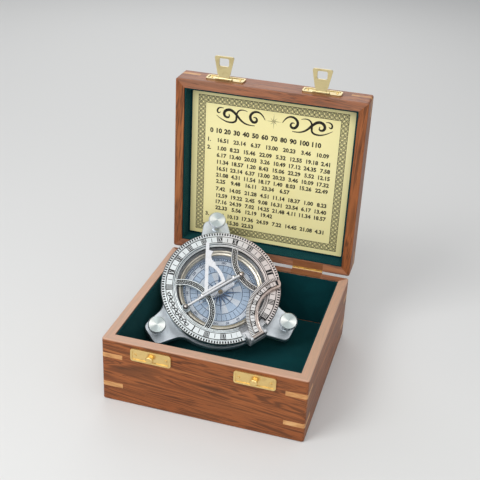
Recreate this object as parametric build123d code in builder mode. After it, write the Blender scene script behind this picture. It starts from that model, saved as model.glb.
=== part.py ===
from build123d import *
import os
from math import asin, cos, degrees, radians, sin

# Driving dimensions, in millimetres and degrees.
# The frame: X to the right, Y to the hinged back, Z up, origin at the centre of the underside.

# The wooden box
box_width = 140.0
box_depth = 136.0
base_height = 48.7
lid_height = 20.7
wall = 6.6
outer_round = 1.6
rim_round = 0.8
panel_rebate = 3.2
recess_depth = 38.9
lid_panel_thickness = 5.0
lid_gap = 0.15

# The corner keys that lock the mitres
key_reach = 14.5
key_thickness = 3.4
base_key_heights = (13.0, 36.0)
lid_key_height = 13.8

# The velvet lining and the printed plate in the lid
lining = 1.0
lining_drop = 0.8
lid_board = 3.6
placard_side_margin = 9.4
placard_end_margin = 10.5
placard_thickness = 0.5
placard_shift = 1.1
placard_corner = 0.6

# The butt hinges
hinge_spacing = 75.6
hinge_length = 23.2
hinge_leaf = 1.0
hinge_radius = 1.5
hinge_out = 0.9
hinge_pin_radius = 0.7
hinge_running_fit = 0.05
hinge_knuckles = 5
knuckle_gap = 0.2
hinge_screw_radius = 1.5
hinge_screw_inset = 5.5
hinge_leaf_inset = 0.6
hinge_room = 0.1
knuckle_room = 0.15

# The two hook latches
latch_spacing = 70.6
latch_width = 28.0
latch_height = 9.4
latch_thickness = 1.2
latch_border = 1.3
latch_corner = 1.8
latch_step = 0.45
base_plate_height = 41.2
lid_plate_height = 9.9
stud_width = 5.6
stud_height = 4.4
stud_proud = 3.0
stud_neck = 1.6
stud_round = 0.9
stud_neck_inset = 0.6
hasp_pivot_height = 4.6
hasp_barrel = 1.25
hasp_pin_radius = 0.6
hasp_fit = 0.05
hasp_root_width = 9.0
hasp_end_width = 14.6
hasp_length = 16.4
hasp_thickness = 1.1
hasp_window_width = 7.2
hasp_window_height = 5.8
hasp_knuckle_width = 7.6
ear_width = 2.2
hasp_stand_off = 0.3
hasp_corner = 1.2
hasp_neck = 1.4
ear_web_drop = 2.4
ear_gap = 0.25
nail_radius = 0.9
nail_dome = 0.6
nail_inset = 3.4
nail_taper = 25

# How the dial compass leans in the box
lean_angle = 37.55
lean_turn = 23.0
lean_from_left = 45.08
lean_from_hinge = 42.92
seat_gap = 0.3

# The compass base and its levelling screws
screw_circle = 54.0
lobe_radius = 60.2
lobe_half_width = 8.8
lobe_root_half_width = 17.0
lobe_corner = 5.0
lobe_blend = 11.0
hub_margin = 1.2
lobe_start = 20.0
plate_chamfer = 0.5
plate_thickness = 4.0
foot_length = 12.7
foot_radius = 2.2
screw_radius = 2.6
screw_fit = 0.05
screw_head_radius = 6.3
screw_head_thickness = 2.6
screw_head_top = 18.5
screw_neck_radius = 3.4
screw_thread_depth = 0.35
screw_thread_pitch = 1.0
screw_head_edge = 0.5
screw_neck_length = 1.2
foot_taper = 0.8
thread_run_out = 3.0

# The drum under the dial
drum_radius = 40.6
drum_wall = 4.0
drum_top = 14.8
drum_floor = 1.6
drum_foot_round = 1.2
slot_width = 4.4
slot_height = 2.2
slot_drop = 3.4
slot_corner = 0.8

# The compass capsule inside the drum
capsule_radius = 30.8
capsule_wall = 2.8
capsule_floor = 0.9
capsule_top = 12.4
bezel_inner = 27.2
bezel_height = 2.2
glass_radius = 28.6
glass_thickness = 1.2
card_radius = 27.8
card_thickness = 0.5
pivot_radius = 0.45
pivot_foot_radius = 1.6
needle_height = 9.2
needle_half_length = 20.5
needle_half_width = 2.6
needle_thickness = 0.5
cap_radius = 2.3
cap_height = 1.5
cap_rim = 0.8
cap_play = 0.2
pivot_foot_rise = 0.6
bezel_edge = 0.5
bezel_flat = 1.0
bezel_step = 0.4

# The hour ring with its two arches
ring_outer = 43.4
ring_inner = 32.4
ring_underside = 15.2
ring_thickness = 3.3
ring_edge = 0.5
moulding_width = 1.7
moulding_drop = 0.7
arch_width = 4.5
arch_thickness = 2.4
arch_end_turn = 38.0
north_arch_reach = 14.5
south_arch_reach = 9.5
notch_low = -7.0
notch_high = 12.6
ring_hinge_reach = 42.6
ring_hinge_drop = 2.0
ring_knuckle_radius = 1.6
ring_knuckle_width = 6.0
ring_lug_width = 2.6
ring_pin_radius = 0.8
ring_lug_play = 0.3
ring_lug_root = 1.5
post_pad_radius = 3.1
bar_bracket_width = 6.4

# The gnomon on its bar
bar_north = 16.7
bar_south = -30.0
bar_lift = 2.3
bar_radius = 0.95
knob_radius = 2.1
knob_post_radius = 1.5
gnomon_barrel_radius = 1.7
gnomon_barrel_south = -19.5
gnomon_barrel_north = 12.5
gnomon_thickness = 1.2
gnomon_rod_width = 2.5
gnomon_rod_length = 41.0
gnomon_rod_angle = 145.5
gnomon_rod_foot = -13.4
gnomon_fit = 0.05
brace_width = 2.6
brace_points = ((-1.0, 2.6), (-8.0, 4.4), (-13.5, 4.2), (-18.5, 1.6))
scroll_points = ((-15.0, 4.6), (-19.5, -0.6), (-29.5, 6.2), (-25.0, 10.2))
scroll_centre = (-20.2, 10.6)
scroll_radius = 5.4
gnomon_flange_points = ((0, -17.5), (-2.6, -15.0), (-3.0, 3.4), (0, 5.4))

# The latitude arc, folded over the ring
arc_hinge_reach = 44.6
arc_centre_along = 28.7
arc_outer = 31.0
arc_inner = 22.3
arc_span = 111.0
arc_thickness = 1.8
arc_over_ring = 0.4
arc_rim_width = 1.7
arc_rim_drop = 0.5
arc_tip_round = 4.2
arc_knuckle_radius = 1.55
arc_pin_radius = 0.75
arc_lug_width = 2.0
arc_lug_gap = 0.3
arc_block_top = 17.4
arc_block_reach = 46.2
arc_block_rise = 3.0
arc_block_chamfer_rise = 6.0
arc_block_root = 2.5
arc_groove_width = 0.8
arc_groove_start = 6.0
arc_groove_end = 8.0
fit = 0.05

os.makedirs("parts", exist_ok=True)


def finish(builder, name):
    """Name a finished piece and write it."""
    builder.part.label = name
    export_step(builder.part, "parts/" + name + ".step")
    return builder.part


# Derived places that several pieces share
inner_width = box_width - 2 * wall
inner_depth = box_depth - 2 * wall
floor_top = base_height - recess_depth
bottom_thickness = floor_top / 2
floor_lining = floor_top - bottom_thickness
lid_ceiling = lid_height - lid_panel_thickness
placard_width = box_width - 2 * placard_side_margin
placard_height = box_depth - 2 * placard_end_margin
hinge_y = box_depth / 2 + hinge_out
lean_x = -inner_width / 2 + lean_from_left
lean_y = hinge_y - lean_from_hinge

# The lid is drawn closed on its own plane, and that plane stands open by a quarter turn
lid_plane = Plane(origin=(0, hinge_y, base_height), x_dir=(1, 0, 0), z_dir=(0, 1, 0))
lid_centre_y = -hinge_y


def lid_level(height):
    """The lid's plane at a height above the closed joint, centred on the lid."""
    return Plane(origin=lid_plane.from_local_coords((0, lid_centre_y, height)), x_dir=lid_plane.x_dir,
                 z_dir=lid_plane.z_dir)


# The walls of the base and of the lid, mitred at the corners
def wall_frame(level, height):
    """A closed frame of the box outline with rounded outer corners."""
    with BuildSketch(level) as outline:
        RectangleRounded(box_width, box_depth, outer_round)
        Rectangle(inner_width, inner_depth, mode=Mode.SUBTRACT)
    extrude(outline.sketch, amount=height)


def keep_side(level, height, side):
    """Keep the part of a frame that lies between the two mitres of one side."""
    half_w = box_width / 2
    half_d = box_depth / 2
    in_w = half_w - 2 * wall
    in_d = half_d - 2 * wall
    corners = {
        "front": [(-half_w, -half_d), (half_w, -half_d), (in_w, -in_d), (-in_w, -in_d)],
        "back": [(half_w, half_d), (-half_w, half_d), (-in_w, in_d), (in_w, in_d)],
        "left": [(-half_w, half_d), (-half_w, -half_d), (-in_w, -in_d), (-in_w, in_d)],
        "right": [(half_w, -half_d), (half_w, half_d), (in_w, in_d), (in_w, -in_d)],
    }
    with BuildSketch(level) as outline:
        with BuildLine():
            Polyline(*corners[side], close=True)
        make_face()
    extrude(outline.sketch, amount=height, mode=Mode.INTERSECT)


def corner_triangles(level):
    """The four corner triangles that a key fills."""
    with BuildSketch(level) as outline:
        for side_x in (-1, 1):
            for side_y in (-1, 1):
                corner_x = side_x * box_width / 2
                corner_y = side_y * box_depth / 2
                with BuildLine():
                    Polyline(
                        (corner_x, corner_y),
                        (corner_x - side_x * key_reach, corner_y),
                        (corner_x, corner_y - side_y * key_reach),
                        close=True,
                    )
                make_face()
    return outline.sketch


def cut_keys(level):
    """Cut the key slots of one level out of a wall."""
    extrude(corner_triangles(level), amount=key_thickness / 2, both=True, mode=Mode.SUBTRACT)


for side in ("front", "back", "left", "right"):
    with BuildPart() as base_wall:
        wall_frame(Plane.XY, base_height)
        fillet(base_wall.faces().sort_by(Axis.Z)[-1].outer_wire().edges(), rim_round)
        fillet(base_wall.faces().sort_by(Axis.Z)[0].outer_wire().edges(), rim_round)
        with BuildSketch(Plane.XY):
            Rectangle(inner_width + 2 * panel_rebate, inner_depth + 2 * panel_rebate)
        extrude(amount=bottom_thickness, mode=Mode.SUBTRACT)
        keep_side(Plane.XY, base_height, side)
        for key_height in base_key_heights:
            cut_keys(Plane.XY.offset(key_height))
        if side == "back":
            with BuildSketch(Plane.XY.offset(base_height)):
                with GridLocations(hinge_spacing, 0, 2, 1):
                    with Locations((0, box_depth / 2 - wall / 2)):
                        Rectangle(hinge_length, wall)
            extrude(amount=-hinge_leaf, mode=Mode.SUBTRACT)
            with BuildSketch(Plane.YZ):
                with Locations((hinge_y, base_height)):
                    Circle(hinge_radius + hinge_room)
            extrude(amount=(hinge_spacing + hinge_length) / 2 + knuckle_gap, both=True, mode=Mode.SUBTRACT)
    finish(base_wall, "base_wall_" + side)

for side in ("front", "back", "left", "right"):
    with BuildPart() as lid_wall:
        wall_frame(lid_level(lid_gap), lid_height - lid_gap)
        fillet(lid_wall.faces().sort_by(Axis.Y)[-1].outer_wire().edges(), rim_round)
        fillet(lid_wall.faces().sort_by(Axis.Y)[0].outer_wire().edges(), rim_round)
        with BuildSketch(lid_level(lid_height)):
            Rectangle(inner_width + 2 * panel_rebate, inner_depth + 2 * panel_rebate)
        extrude(amount=-lid_panel_thickness, mode=Mode.SUBTRACT)
        keep_side(lid_level(0), lid_height, side)
        cut_keys(lid_level(lid_key_height))
        if side == "back":
            with BuildSketch(lid_level(lid_gap)):
                with GridLocations(hinge_spacing, 0, 2, 1):
                    with Locations((0, box_depth / 2 - wall / 2)):
                        Rectangle(hinge_length, wall)
            extrude(amount=hinge_leaf, mode=Mode.SUBTRACT)
            with BuildSketch(Plane.YZ):
                with Locations((hinge_y, base_height)):
                    Circle(hinge_radius + hinge_room)
            extrude(amount=(hinge_spacing + hinge_length) / 2 + knuckle_gap, both=True, mode=Mode.SUBTRACT)
    finish(lid_wall, "lid_wall_" + side)

# Light wooden keys across the corners
with BuildPart() as base_corner_keys:
    for key_height in base_key_heights:
        extrude(corner_triangles(Plane.XY.offset(key_height)), amount=key_thickness / 2, both=True)
    with BuildSketch(Plane.XY):
        RectangleRounded(box_width, box_depth, outer_round)
        Rectangle(inner_width, inner_depth, mode=Mode.SUBTRACT)
    extrude(amount=base_height, mode=Mode.INTERSECT)
finish(base_corner_keys, "base_corner_keys")

with BuildPart() as lid_corner_keys:
    extrude(corner_triangles(lid_level(lid_key_height)), amount=key_thickness / 2, both=True)
    with BuildSketch(lid_level(0)):
        RectangleRounded(box_width, box_depth, outer_round)
        Rectangle(inner_width, inner_depth, mode=Mode.SUBTRACT)
    extrude(amount=lid_height, mode=Mode.INTERSECT)
finish(lid_corner_keys, "lid_corner_keys")

# The boards let into the rebates
with BuildPart() as bottom_panel:
    with BuildSketch(Plane.XY):
        Rectangle(inner_width + 2 * panel_rebate, inner_depth + 2 * panel_rebate)
    extrude(amount=bottom_thickness)
finish(bottom_panel, "bottom_panel")

with BuildPart() as lid_panel:
    with BuildSketch(lid_level(lid_height)):
        Rectangle(inner_width + 2 * panel_rebate, inner_depth + 2 * panel_rebate)
    extrude(amount=-lid_panel_thickness)
finish(lid_panel, "lid_panel")

# The velvet lining of the base: a padded floor and a sleeve round the walls
with BuildPart() as floor_lining_pad:
    with BuildSketch(Plane.XY.offset(bottom_thickness)):
        Rectangle(inner_width, inner_depth)
    extrude(amount=floor_lining)
finish(floor_lining_pad, "base_floor_lining")

with BuildPart() as base_wall_lining:
    with BuildSketch(Plane.XY.offset(floor_top)):
        Rectangle(inner_width, inner_depth)
        Rectangle(inner_width - 2 * lining, inner_depth - 2 * lining, mode=Mode.SUBTRACT)
    extrude(amount=base_height - lining_drop - floor_top)
finish(base_wall_lining, "base_wall_lining")

# The lining of the lid, on a board, and the plate of printed brass on it
with BuildPart() as lid_board_lining:
    with BuildSketch(lid_level(lid_ceiling)):
        Rectangle(inner_width, inner_depth)
    extrude(amount=-lid_board)
finish(lid_board_lining, "lid_board_lining")

with BuildPart() as lid_wall_lining:
    with BuildSketch(lid_level(lid_ceiling - lid_board)):
        Rectangle(inner_width, inner_depth)
        Rectangle(inner_width - 2 * lining, inner_depth - 2 * lining, mode=Mode.SUBTRACT)
    extrude(amount=-(lid_ceiling - lid_board - lining_drop))
finish(lid_wall_lining, "lid_wall_lining")

with BuildPart() as placard:
    with BuildSketch(lid_level(lid_ceiling - lid_board)):
        with Locations((0, placard_shift)):
            RectangleRounded(placard_width, placard_height, placard_corner)
    extrude(amount=-placard_thickness)
finish(placard, "placard")

# The butt hinges: leaves let into the joint faces, with five knuckles on one pin
knuckle_pitch = hinge_length / hinge_knuckles
leaf_depth = wall - hinge_leaf_inset


def hinge_knuckle_row(centre_x, first):
    """Every second knuckle of a hinge, from the first one given."""
    for index in range(first, hinge_knuckles, 2):
        start = centre_x - hinge_length / 2 + index * knuckle_pitch + knuckle_gap / 2
        with BuildSketch(Plane.YZ.offset(start)) as ring:
            with Locations((hinge_y, base_height)):
                Circle(hinge_radius)
        extrude(ring.sketch, amount=knuckle_pitch - knuckle_gap)


def clear_other_knuckles(centre_x, first):
    """Cut room for the knuckles of the other leaf, and bore the pin hole."""
    for index in range(first, hinge_knuckles, 2):
        start = centre_x - hinge_length / 2 + index * knuckle_pitch - knuckle_gap / 2
        with BuildSketch(Plane.YZ.offset(start)) as room:
            with Locations((hinge_y, base_height)):
                Circle(hinge_radius + knuckle_room)
        extrude(room.sketch, amount=knuckle_pitch + knuckle_gap, mode=Mode.SUBTRACT)
    with BuildSketch(Plane.YZ.offset(centre_x)) as bore:
        with Locations((hinge_y, base_height)):
            Circle(hinge_pin_radius + hinge_running_fit)
    extrude(bore.sketch, amount=hinge_length, both=True, mode=Mode.SUBTRACT)


for hand, side_x in (("left", -1), ("right", 1)):
    hinge_x = side_x * hinge_spacing / 2
    with BuildPart() as base_leaf:
        with BuildSketch(Plane.XY.offset(base_height)):
            with Locations((hinge_x, box_depth / 2 - leaf_depth / 2 + hinge_out / 2)):
                Rectangle(hinge_length, leaf_depth + hinge_out)
        extrude(amount=-hinge_leaf)
        hinge_knuckle_row(hinge_x, 0)
        clear_other_knuckles(hinge_x, 1)
        with BuildSketch(Plane.XY.offset(base_height)):
            with Locations((hinge_x, box_depth / 2 - wall / 2)):
                with GridLocations(hinge_length - hinge_screw_inset * 2, 0, 2, 1):
                    Circle(hinge_screw_radius)
        extrude(amount=-hinge_leaf, mode=Mode.SUBTRACT)
    finish(base_leaf, "hinge_base_leaf_" + hand)

    with BuildPart() as lid_leaf:
        with BuildSketch(lid_level(lid_gap)):
            with Locations((hinge_x, box_depth / 2 - leaf_depth / 2 + hinge_out / 2)):
                Rectangle(hinge_length, leaf_depth + hinge_out)
        extrude(amount=hinge_leaf)
        hinge_knuckle_row(hinge_x, 1)
        clear_other_knuckles(hinge_x, 0)
        with BuildSketch(lid_level(lid_gap)):
            with Locations((hinge_x, box_depth / 2 - wall / 2)):
                with GridLocations(hinge_length - hinge_screw_inset * 2, 0, 2, 1):
                    Circle(hinge_screw_radius)
        extrude(amount=hinge_leaf, mode=Mode.SUBTRACT)
    finish(lid_leaf, "hinge_lid_leaf_" + hand)

with BuildPart() as hinge_pins:
    for side_x in (-1, 1):
        with BuildSketch(Plane.YZ.offset(side_x * hinge_spacing / 2)):
            with Locations((hinge_y, base_height)):
                Circle(hinge_pin_radius)
        extrude(amount=hinge_length / 2, both=True)
finish(hinge_pins, "hinge_pins")


def hinge_screw_group(level, depth):
    """Flush screws through both leaves that lie on one joint face."""
    with BuildSketch(level) as heads:
        with GridLocations(hinge_spacing, 0, 2, 1):
            with Locations((0, box_depth / 2 - wall / 2)):
                with GridLocations(hinge_length - hinge_screw_inset * 2, 0, 2, 1):
                    Circle(hinge_screw_radius)
    extrude(heads.sketch, amount=depth)


with BuildPart() as base_hinge_screws:
    hinge_screw_group(Plane.XY.offset(base_height - hinge_leaf), hinge_leaf)
finish(base_hinge_screws, "base_hinge_screws")

with BuildPart() as lid_hinge_screws:
    hinge_screw_group(lid_level(lid_gap), hinge_leaf)
finish(lid_hinge_screws, "lid_hinge_screws")

# The latches: a plate and hook stud on the base, a plate with a hinged hasp on the lid
front_y = -box_depth / 2
base_front = Plane(origin=(0, front_y, 0), x_dir=(1, 0, 0), z_dir=(0, -1, 0))
lid_front_origin = lid_plane.from_local_coords((0, lid_centre_y + front_y, 0))
lid_front_out = lid_plane.from_local_coords((0, lid_centre_y + front_y - 1, 0)) - lid_front_origin
sunk_width = latch_width - 2 * latch_border
sunk_height = latch_height - 2 * latch_border
pivot_out = latch_thickness + hasp_stand_off + hasp_barrel * 0.5
lid_front = Plane(origin=lid_front_origin, x_dir=(1, 0, 0), z_dir=tuple(lid_front_out))


def bordered_plate(face, centre_x, height):
    """A brass plate with rounded corners and a raised border."""
    with BuildSketch(face) as outline:
        with Locations((centre_x, height)):
            RectangleRounded(latch_width, latch_height, latch_corner)
    extrude(outline.sketch, amount=latch_thickness)
    with BuildSketch(face.offset(latch_thickness)) as sunk:
        with Locations((centre_x, height)):
            RectangleRounded(sunk_width, sunk_height, latch_corner / 2)
    extrude(sunk.sketch, amount=-latch_step, mode=Mode.SUBTRACT)


for hand, side_x in (("left", -1), ("right", 1)):
    latch_x = side_x * latch_spacing / 2
    with BuildPart() as catch_plate:
        bordered_plate(base_front, latch_x, base_plate_height)
        with BuildSketch(base_front.offset(latch_thickness - latch_step)):
            with Locations((latch_x, base_plate_height)):
                Ellipse(stud_width / 2 - stud_neck_inset, stud_height / 2 - stud_neck_inset)
        extrude(amount=latch_step + stud_neck)
        with BuildSketch(base_front.offset(latch_thickness + stud_neck)):
            with Locations((latch_x, base_plate_height)):
                Ellipse(stud_width / 2, stud_height / 2)
        extrude(amount=stud_proud - stud_neck)
        fillet(catch_plate.faces().sort_by(Axis.Y)[0].outer_wire().edges(), stud_round)
    finish(catch_plate, "catch_plate_" + hand)

    with BuildPart() as latch_plate:
        bordered_plate(lid_front, latch_x, lid_plate_height)
        pivot_base = lid_front.from_local_coords((latch_x, hasp_pivot_height, 0))
        pivot_section = Plane(origin=pivot_base, x_dir=lid_front.z_dir, z_dir=lid_front.x_dir)
        with BuildSketch(pivot_section):
            with Locations((pivot_out, 0)):
                Circle(hasp_barrel)
            with Locations(((latch_thickness + hasp_stand_off * 2) / 2, -ear_web_drop / 2)):
                Rectangle(latch_thickness + 2 * hasp_stand_off, ear_web_drop)
        extrude(amount=hasp_knuckle_width / 2 + ear_width, both=True)
        with BuildSketch(pivot_section):
            with Locations((pivot_out, 0)):
                Circle(hasp_barrel + ear_gap)
            with Locations((pivot_out, hasp_barrel - ear_gap)):
                Rectangle(4 * hasp_barrel, 2 * hasp_barrel)
        extrude(amount=hasp_knuckle_width / 2 + ear_gap, both=True, mode=Mode.SUBTRACT)
        with BuildSketch(pivot_section):
            with Locations((pivot_out, 0)):
                Circle(hasp_pin_radius)
        extrude(amount=latch_width, both=True, mode=Mode.SUBTRACT)
    finish(latch_plate, "latch_plate_" + hand)

    # The hasp stands straight out from the lid's front, a quarter turn from its latched place
    pivot_point = lid_front.from_local_coords((latch_x, hasp_pivot_height, pivot_out))
    hasp_face = Plane(origin=pivot_point, x_dir=lid_front.x_dir, z_dir=-lid_front.y_dir)
    with BuildPart() as hasp:
        with BuildSketch(hasp_face.offset(-hasp_thickness / 2)):
            with BuildLine():
                Polyline(
                    (-hasp_root_width / 2, hasp_barrel + hasp_neck),
                    (hasp_root_width / 2, hasp_barrel + hasp_neck),
                    (hasp_end_width / 2, hasp_length),
                    (-hasp_end_width / 2, hasp_length),
                    close=True,
                )
            make_face()
            fillet(vertices(), hasp_corner)
            with Locations((0, base_height + hasp_pivot_height - base_plate_height)):
                RectangleRounded(hasp_window_width, hasp_window_height, hasp_corner, mode=Mode.SUBTRACT)
        extrude(amount=hasp_thickness)
        with BuildSketch(hasp_face.offset(-hasp_thickness / 2)):
            with Locations((0, (hasp_barrel + hasp_neck) * 0.6)):
                Rectangle(hasp_knuckle_width, (hasp_barrel + hasp_neck) * 1.2)
        extrude(amount=hasp_thickness)
        barrel_plane = Plane(origin=pivot_point, x_dir=lid_front.z_dir, z_dir=lid_front.x_dir)
        with BuildSketch(barrel_plane):
            Circle(hasp_barrel)
        extrude(amount=hasp_knuckle_width / 2, both=True)
        with BuildSketch(barrel_plane):
            Circle(hasp_pin_radius + hasp_fit)
        extrude(amount=hasp_knuckle_width, both=True, mode=Mode.SUBTRACT)
    finish(hasp, "hasp_" + hand)

with BuildPart() as hasp_pins:
    for side_x in (-1, 1):
        pin_point = lid_front.from_local_coords((side_x * latch_spacing / 2, hasp_pivot_height, pivot_out))
        with BuildSketch(Plane(origin=pin_point, x_dir=lid_front.z_dir, z_dir=lid_front.x_dir)):
            Circle(hasp_pin_radius)
        extrude(amount=hasp_knuckle_width / 2 + ear_width, both=True)
finish(hasp_pins, "hasp_pins")


def nails(name, face, height):
    """One node of four domed nails."""
    with BuildPart() as nail_set:
        with BuildSketch(face.offset(latch_thickness - latch_step)):
            with Locations((0, height)):
                with GridLocations(latch_spacing, 0, 2, 1):
                    with GridLocations(latch_width - 2 * nail_inset, 0, 2, 1):
                        Circle(nail_radius)
        extrude(amount=nail_dome, taper=nail_taper)
    finish(nail_set, name)


nails("catch_plate_nails", base_front, base_plate_height)
nails("latch_plate_nails", lid_front, lid_plate_height)

# The leaning compass: its plane lies in the plate's underside, with the arc side along x
tilt_axis_x = cos(radians(lean_turn))
tilt_axis_y = sin(radians(lean_turn))
lean_sine = sin(radians(lean_angle))
lean_cosine = cos(radians(lean_angle))
front_feet_drop = screw_circle / 2 * lean_sine + foot_length * lean_cosine + foot_radius * lean_sine
lean_z = floor_top + seat_gap + front_feet_drop
lean_normal = (tilt_axis_y * lean_sine, -tilt_axis_x * lean_sine, lean_cosine)
uphill = (-tilt_axis_y * lean_cosine, tilt_axis_x * lean_cosine, lean_sine)
arc_turn = radians(-60)
arc_side = (
    tilt_axis_x * cos(arc_turn) + uphill[0] * sin(arc_turn),
    tilt_axis_y * cos(arc_turn) + uphill[1] * sin(arc_turn),
    uphill[2] * sin(arc_turn),
)
dial = Plane(origin=(lean_x, lean_y, lean_z), x_dir=arc_side, z_dir=lean_normal)
screw_angles = (30, 150, 270)


def across(point_y, point_z):
    """A plane square to the dial's x axis, at a point of the dial's yz plane."""
    return Plane(origin=dial.from_local_coords((0, point_y, point_z)), x_dir=dial.y_dir, z_dir=dial.x_dir)


def along(point_x, point_z):
    """A plane square to the dial's y axis, at a point of the dial's xz plane."""
    return Plane(origin=dial.from_local_coords((point_x, 0, point_z)), x_dir=dial.z_dir, z_dir=dial.y_dir)


def upright(point_y, point_z):
    """A plane square to the dial's y axis, with the dial's x along its own and y pointing down."""
    return Plane(origin=dial.from_local_coords((0, point_y, point_z)), x_dir=dial.x_dir, z_dir=dial.y_dir)


def half_section():
    """The plane that turned profiles are drawn on, with the dial's axis along y."""
    return Plane(origin=dial.origin, x_dir=dial.x_dir, z_dir=-dial.y_dir)


dial_axis = Axis(dial.origin, dial.z_dir)


def turned(points):
    """Turn a closed profile of radius and height points about the dial's axis."""
    with BuildSketch(half_section()) as profile:
        with BuildLine():
            Polyline(*points, close=True)
        make_face()
    revolve(profile.sketch, axis=dial_axis)


# The three-lobed base plate
hub_radius = drum_radius + hub_margin
lobe_length = lobe_radius - lobe_start
lobe_side_angle = 90 - degrees(asin((lobe_root_half_width - lobe_half_width) / lobe_length))
with BuildPart() as compass_plate:
    with BuildSketch(dial):
        Circle(hub_radius)
        for angle in screw_angles:
            with Locations(Location((0, 0, 0), (0, 0, angle))):
                with Locations(((lobe_radius + lobe_start) / 2, 0)):
                    Trapezoid(2 * lobe_root_half_width, lobe_length, lobe_side_angle, rotation=-90)
        tips = vertices().filter_by(lambda v: (v.X ** 2 + v.Y ** 2) ** 0.5 > screw_circle)
        fillet(tips, lobe_corner)
        joints = vertices().filter_by(lambda v: abs((v.X ** 2 + v.Y ** 2) ** 0.5 - hub_radius) < 0.05)
        fillet(joints, lobe_blend)
    extrude(amount=plate_thickness)
    chamfer(compass_plate.faces().sort_by(dial_axis)[-1].outer_wire().edges(), plate_chamfer)
    with BuildSketch(dial):
        with PolarLocations(screw_circle, 3, start_angle=screw_angles[0]):
            Circle(screw_radius + screw_fit)
    extrude(amount=plate_thickness, mode=Mode.SUBTRACT)
finish(compass_plate, "compass_base_plate")

# The levelling screws: a rounded foot, a threaded shank with its grooves, a neck and a flat head
for number, angle in enumerate(screw_angles, start=1):
    screw_x = screw_circle * cos(radians(angle))
    screw_y = screw_circle * sin(radians(angle))
    screw_origin = dial.from_local_coords((screw_x, screw_y, 0))
    screw_plane = Plane(origin=screw_origin, x_dir=dial.x_dir, z_dir=-dial.y_dir)
    head_low = screw_head_top - screw_head_thickness
    groove_count = int((head_low - plate_thickness - thread_run_out) / screw_thread_pitch)
    outline = [(0, -foot_length), (foot_radius, -foot_length), (screw_radius, -foot_length + foot_taper)]
    outline.append((screw_radius, plate_thickness + screw_thread_pitch))
    for groove in range(groove_count):
        groove_z = plate_thickness + (groove + 1) * screw_thread_pitch
        outline.append((screw_radius - screw_thread_depth, groove_z + screw_thread_pitch / 2))
        outline.append((screw_radius, groove_z + screw_thread_pitch))
    outline.append((screw_neck_radius, head_low - screw_neck_length))
    outline.append((screw_neck_radius, head_low))
    outline.append((screw_head_radius - screw_head_edge, head_low))
    outline.append((screw_head_radius, head_low + screw_head_edge))
    outline.append((screw_head_radius, screw_head_top - screw_head_edge))
    outline.append((screw_head_radius - screw_head_edge, screw_head_top))
    outline.append((0, screw_head_top))
    with BuildPart() as levelling_screw:
        with BuildSketch(screw_plane):
            with BuildLine():
                Polyline(*outline, close=True)
            make_face()
        revolve(axis=Axis(screw_origin, dial.z_dir))
    finish(levelling_screw, "levelling_screw_" + str(number))

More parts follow.
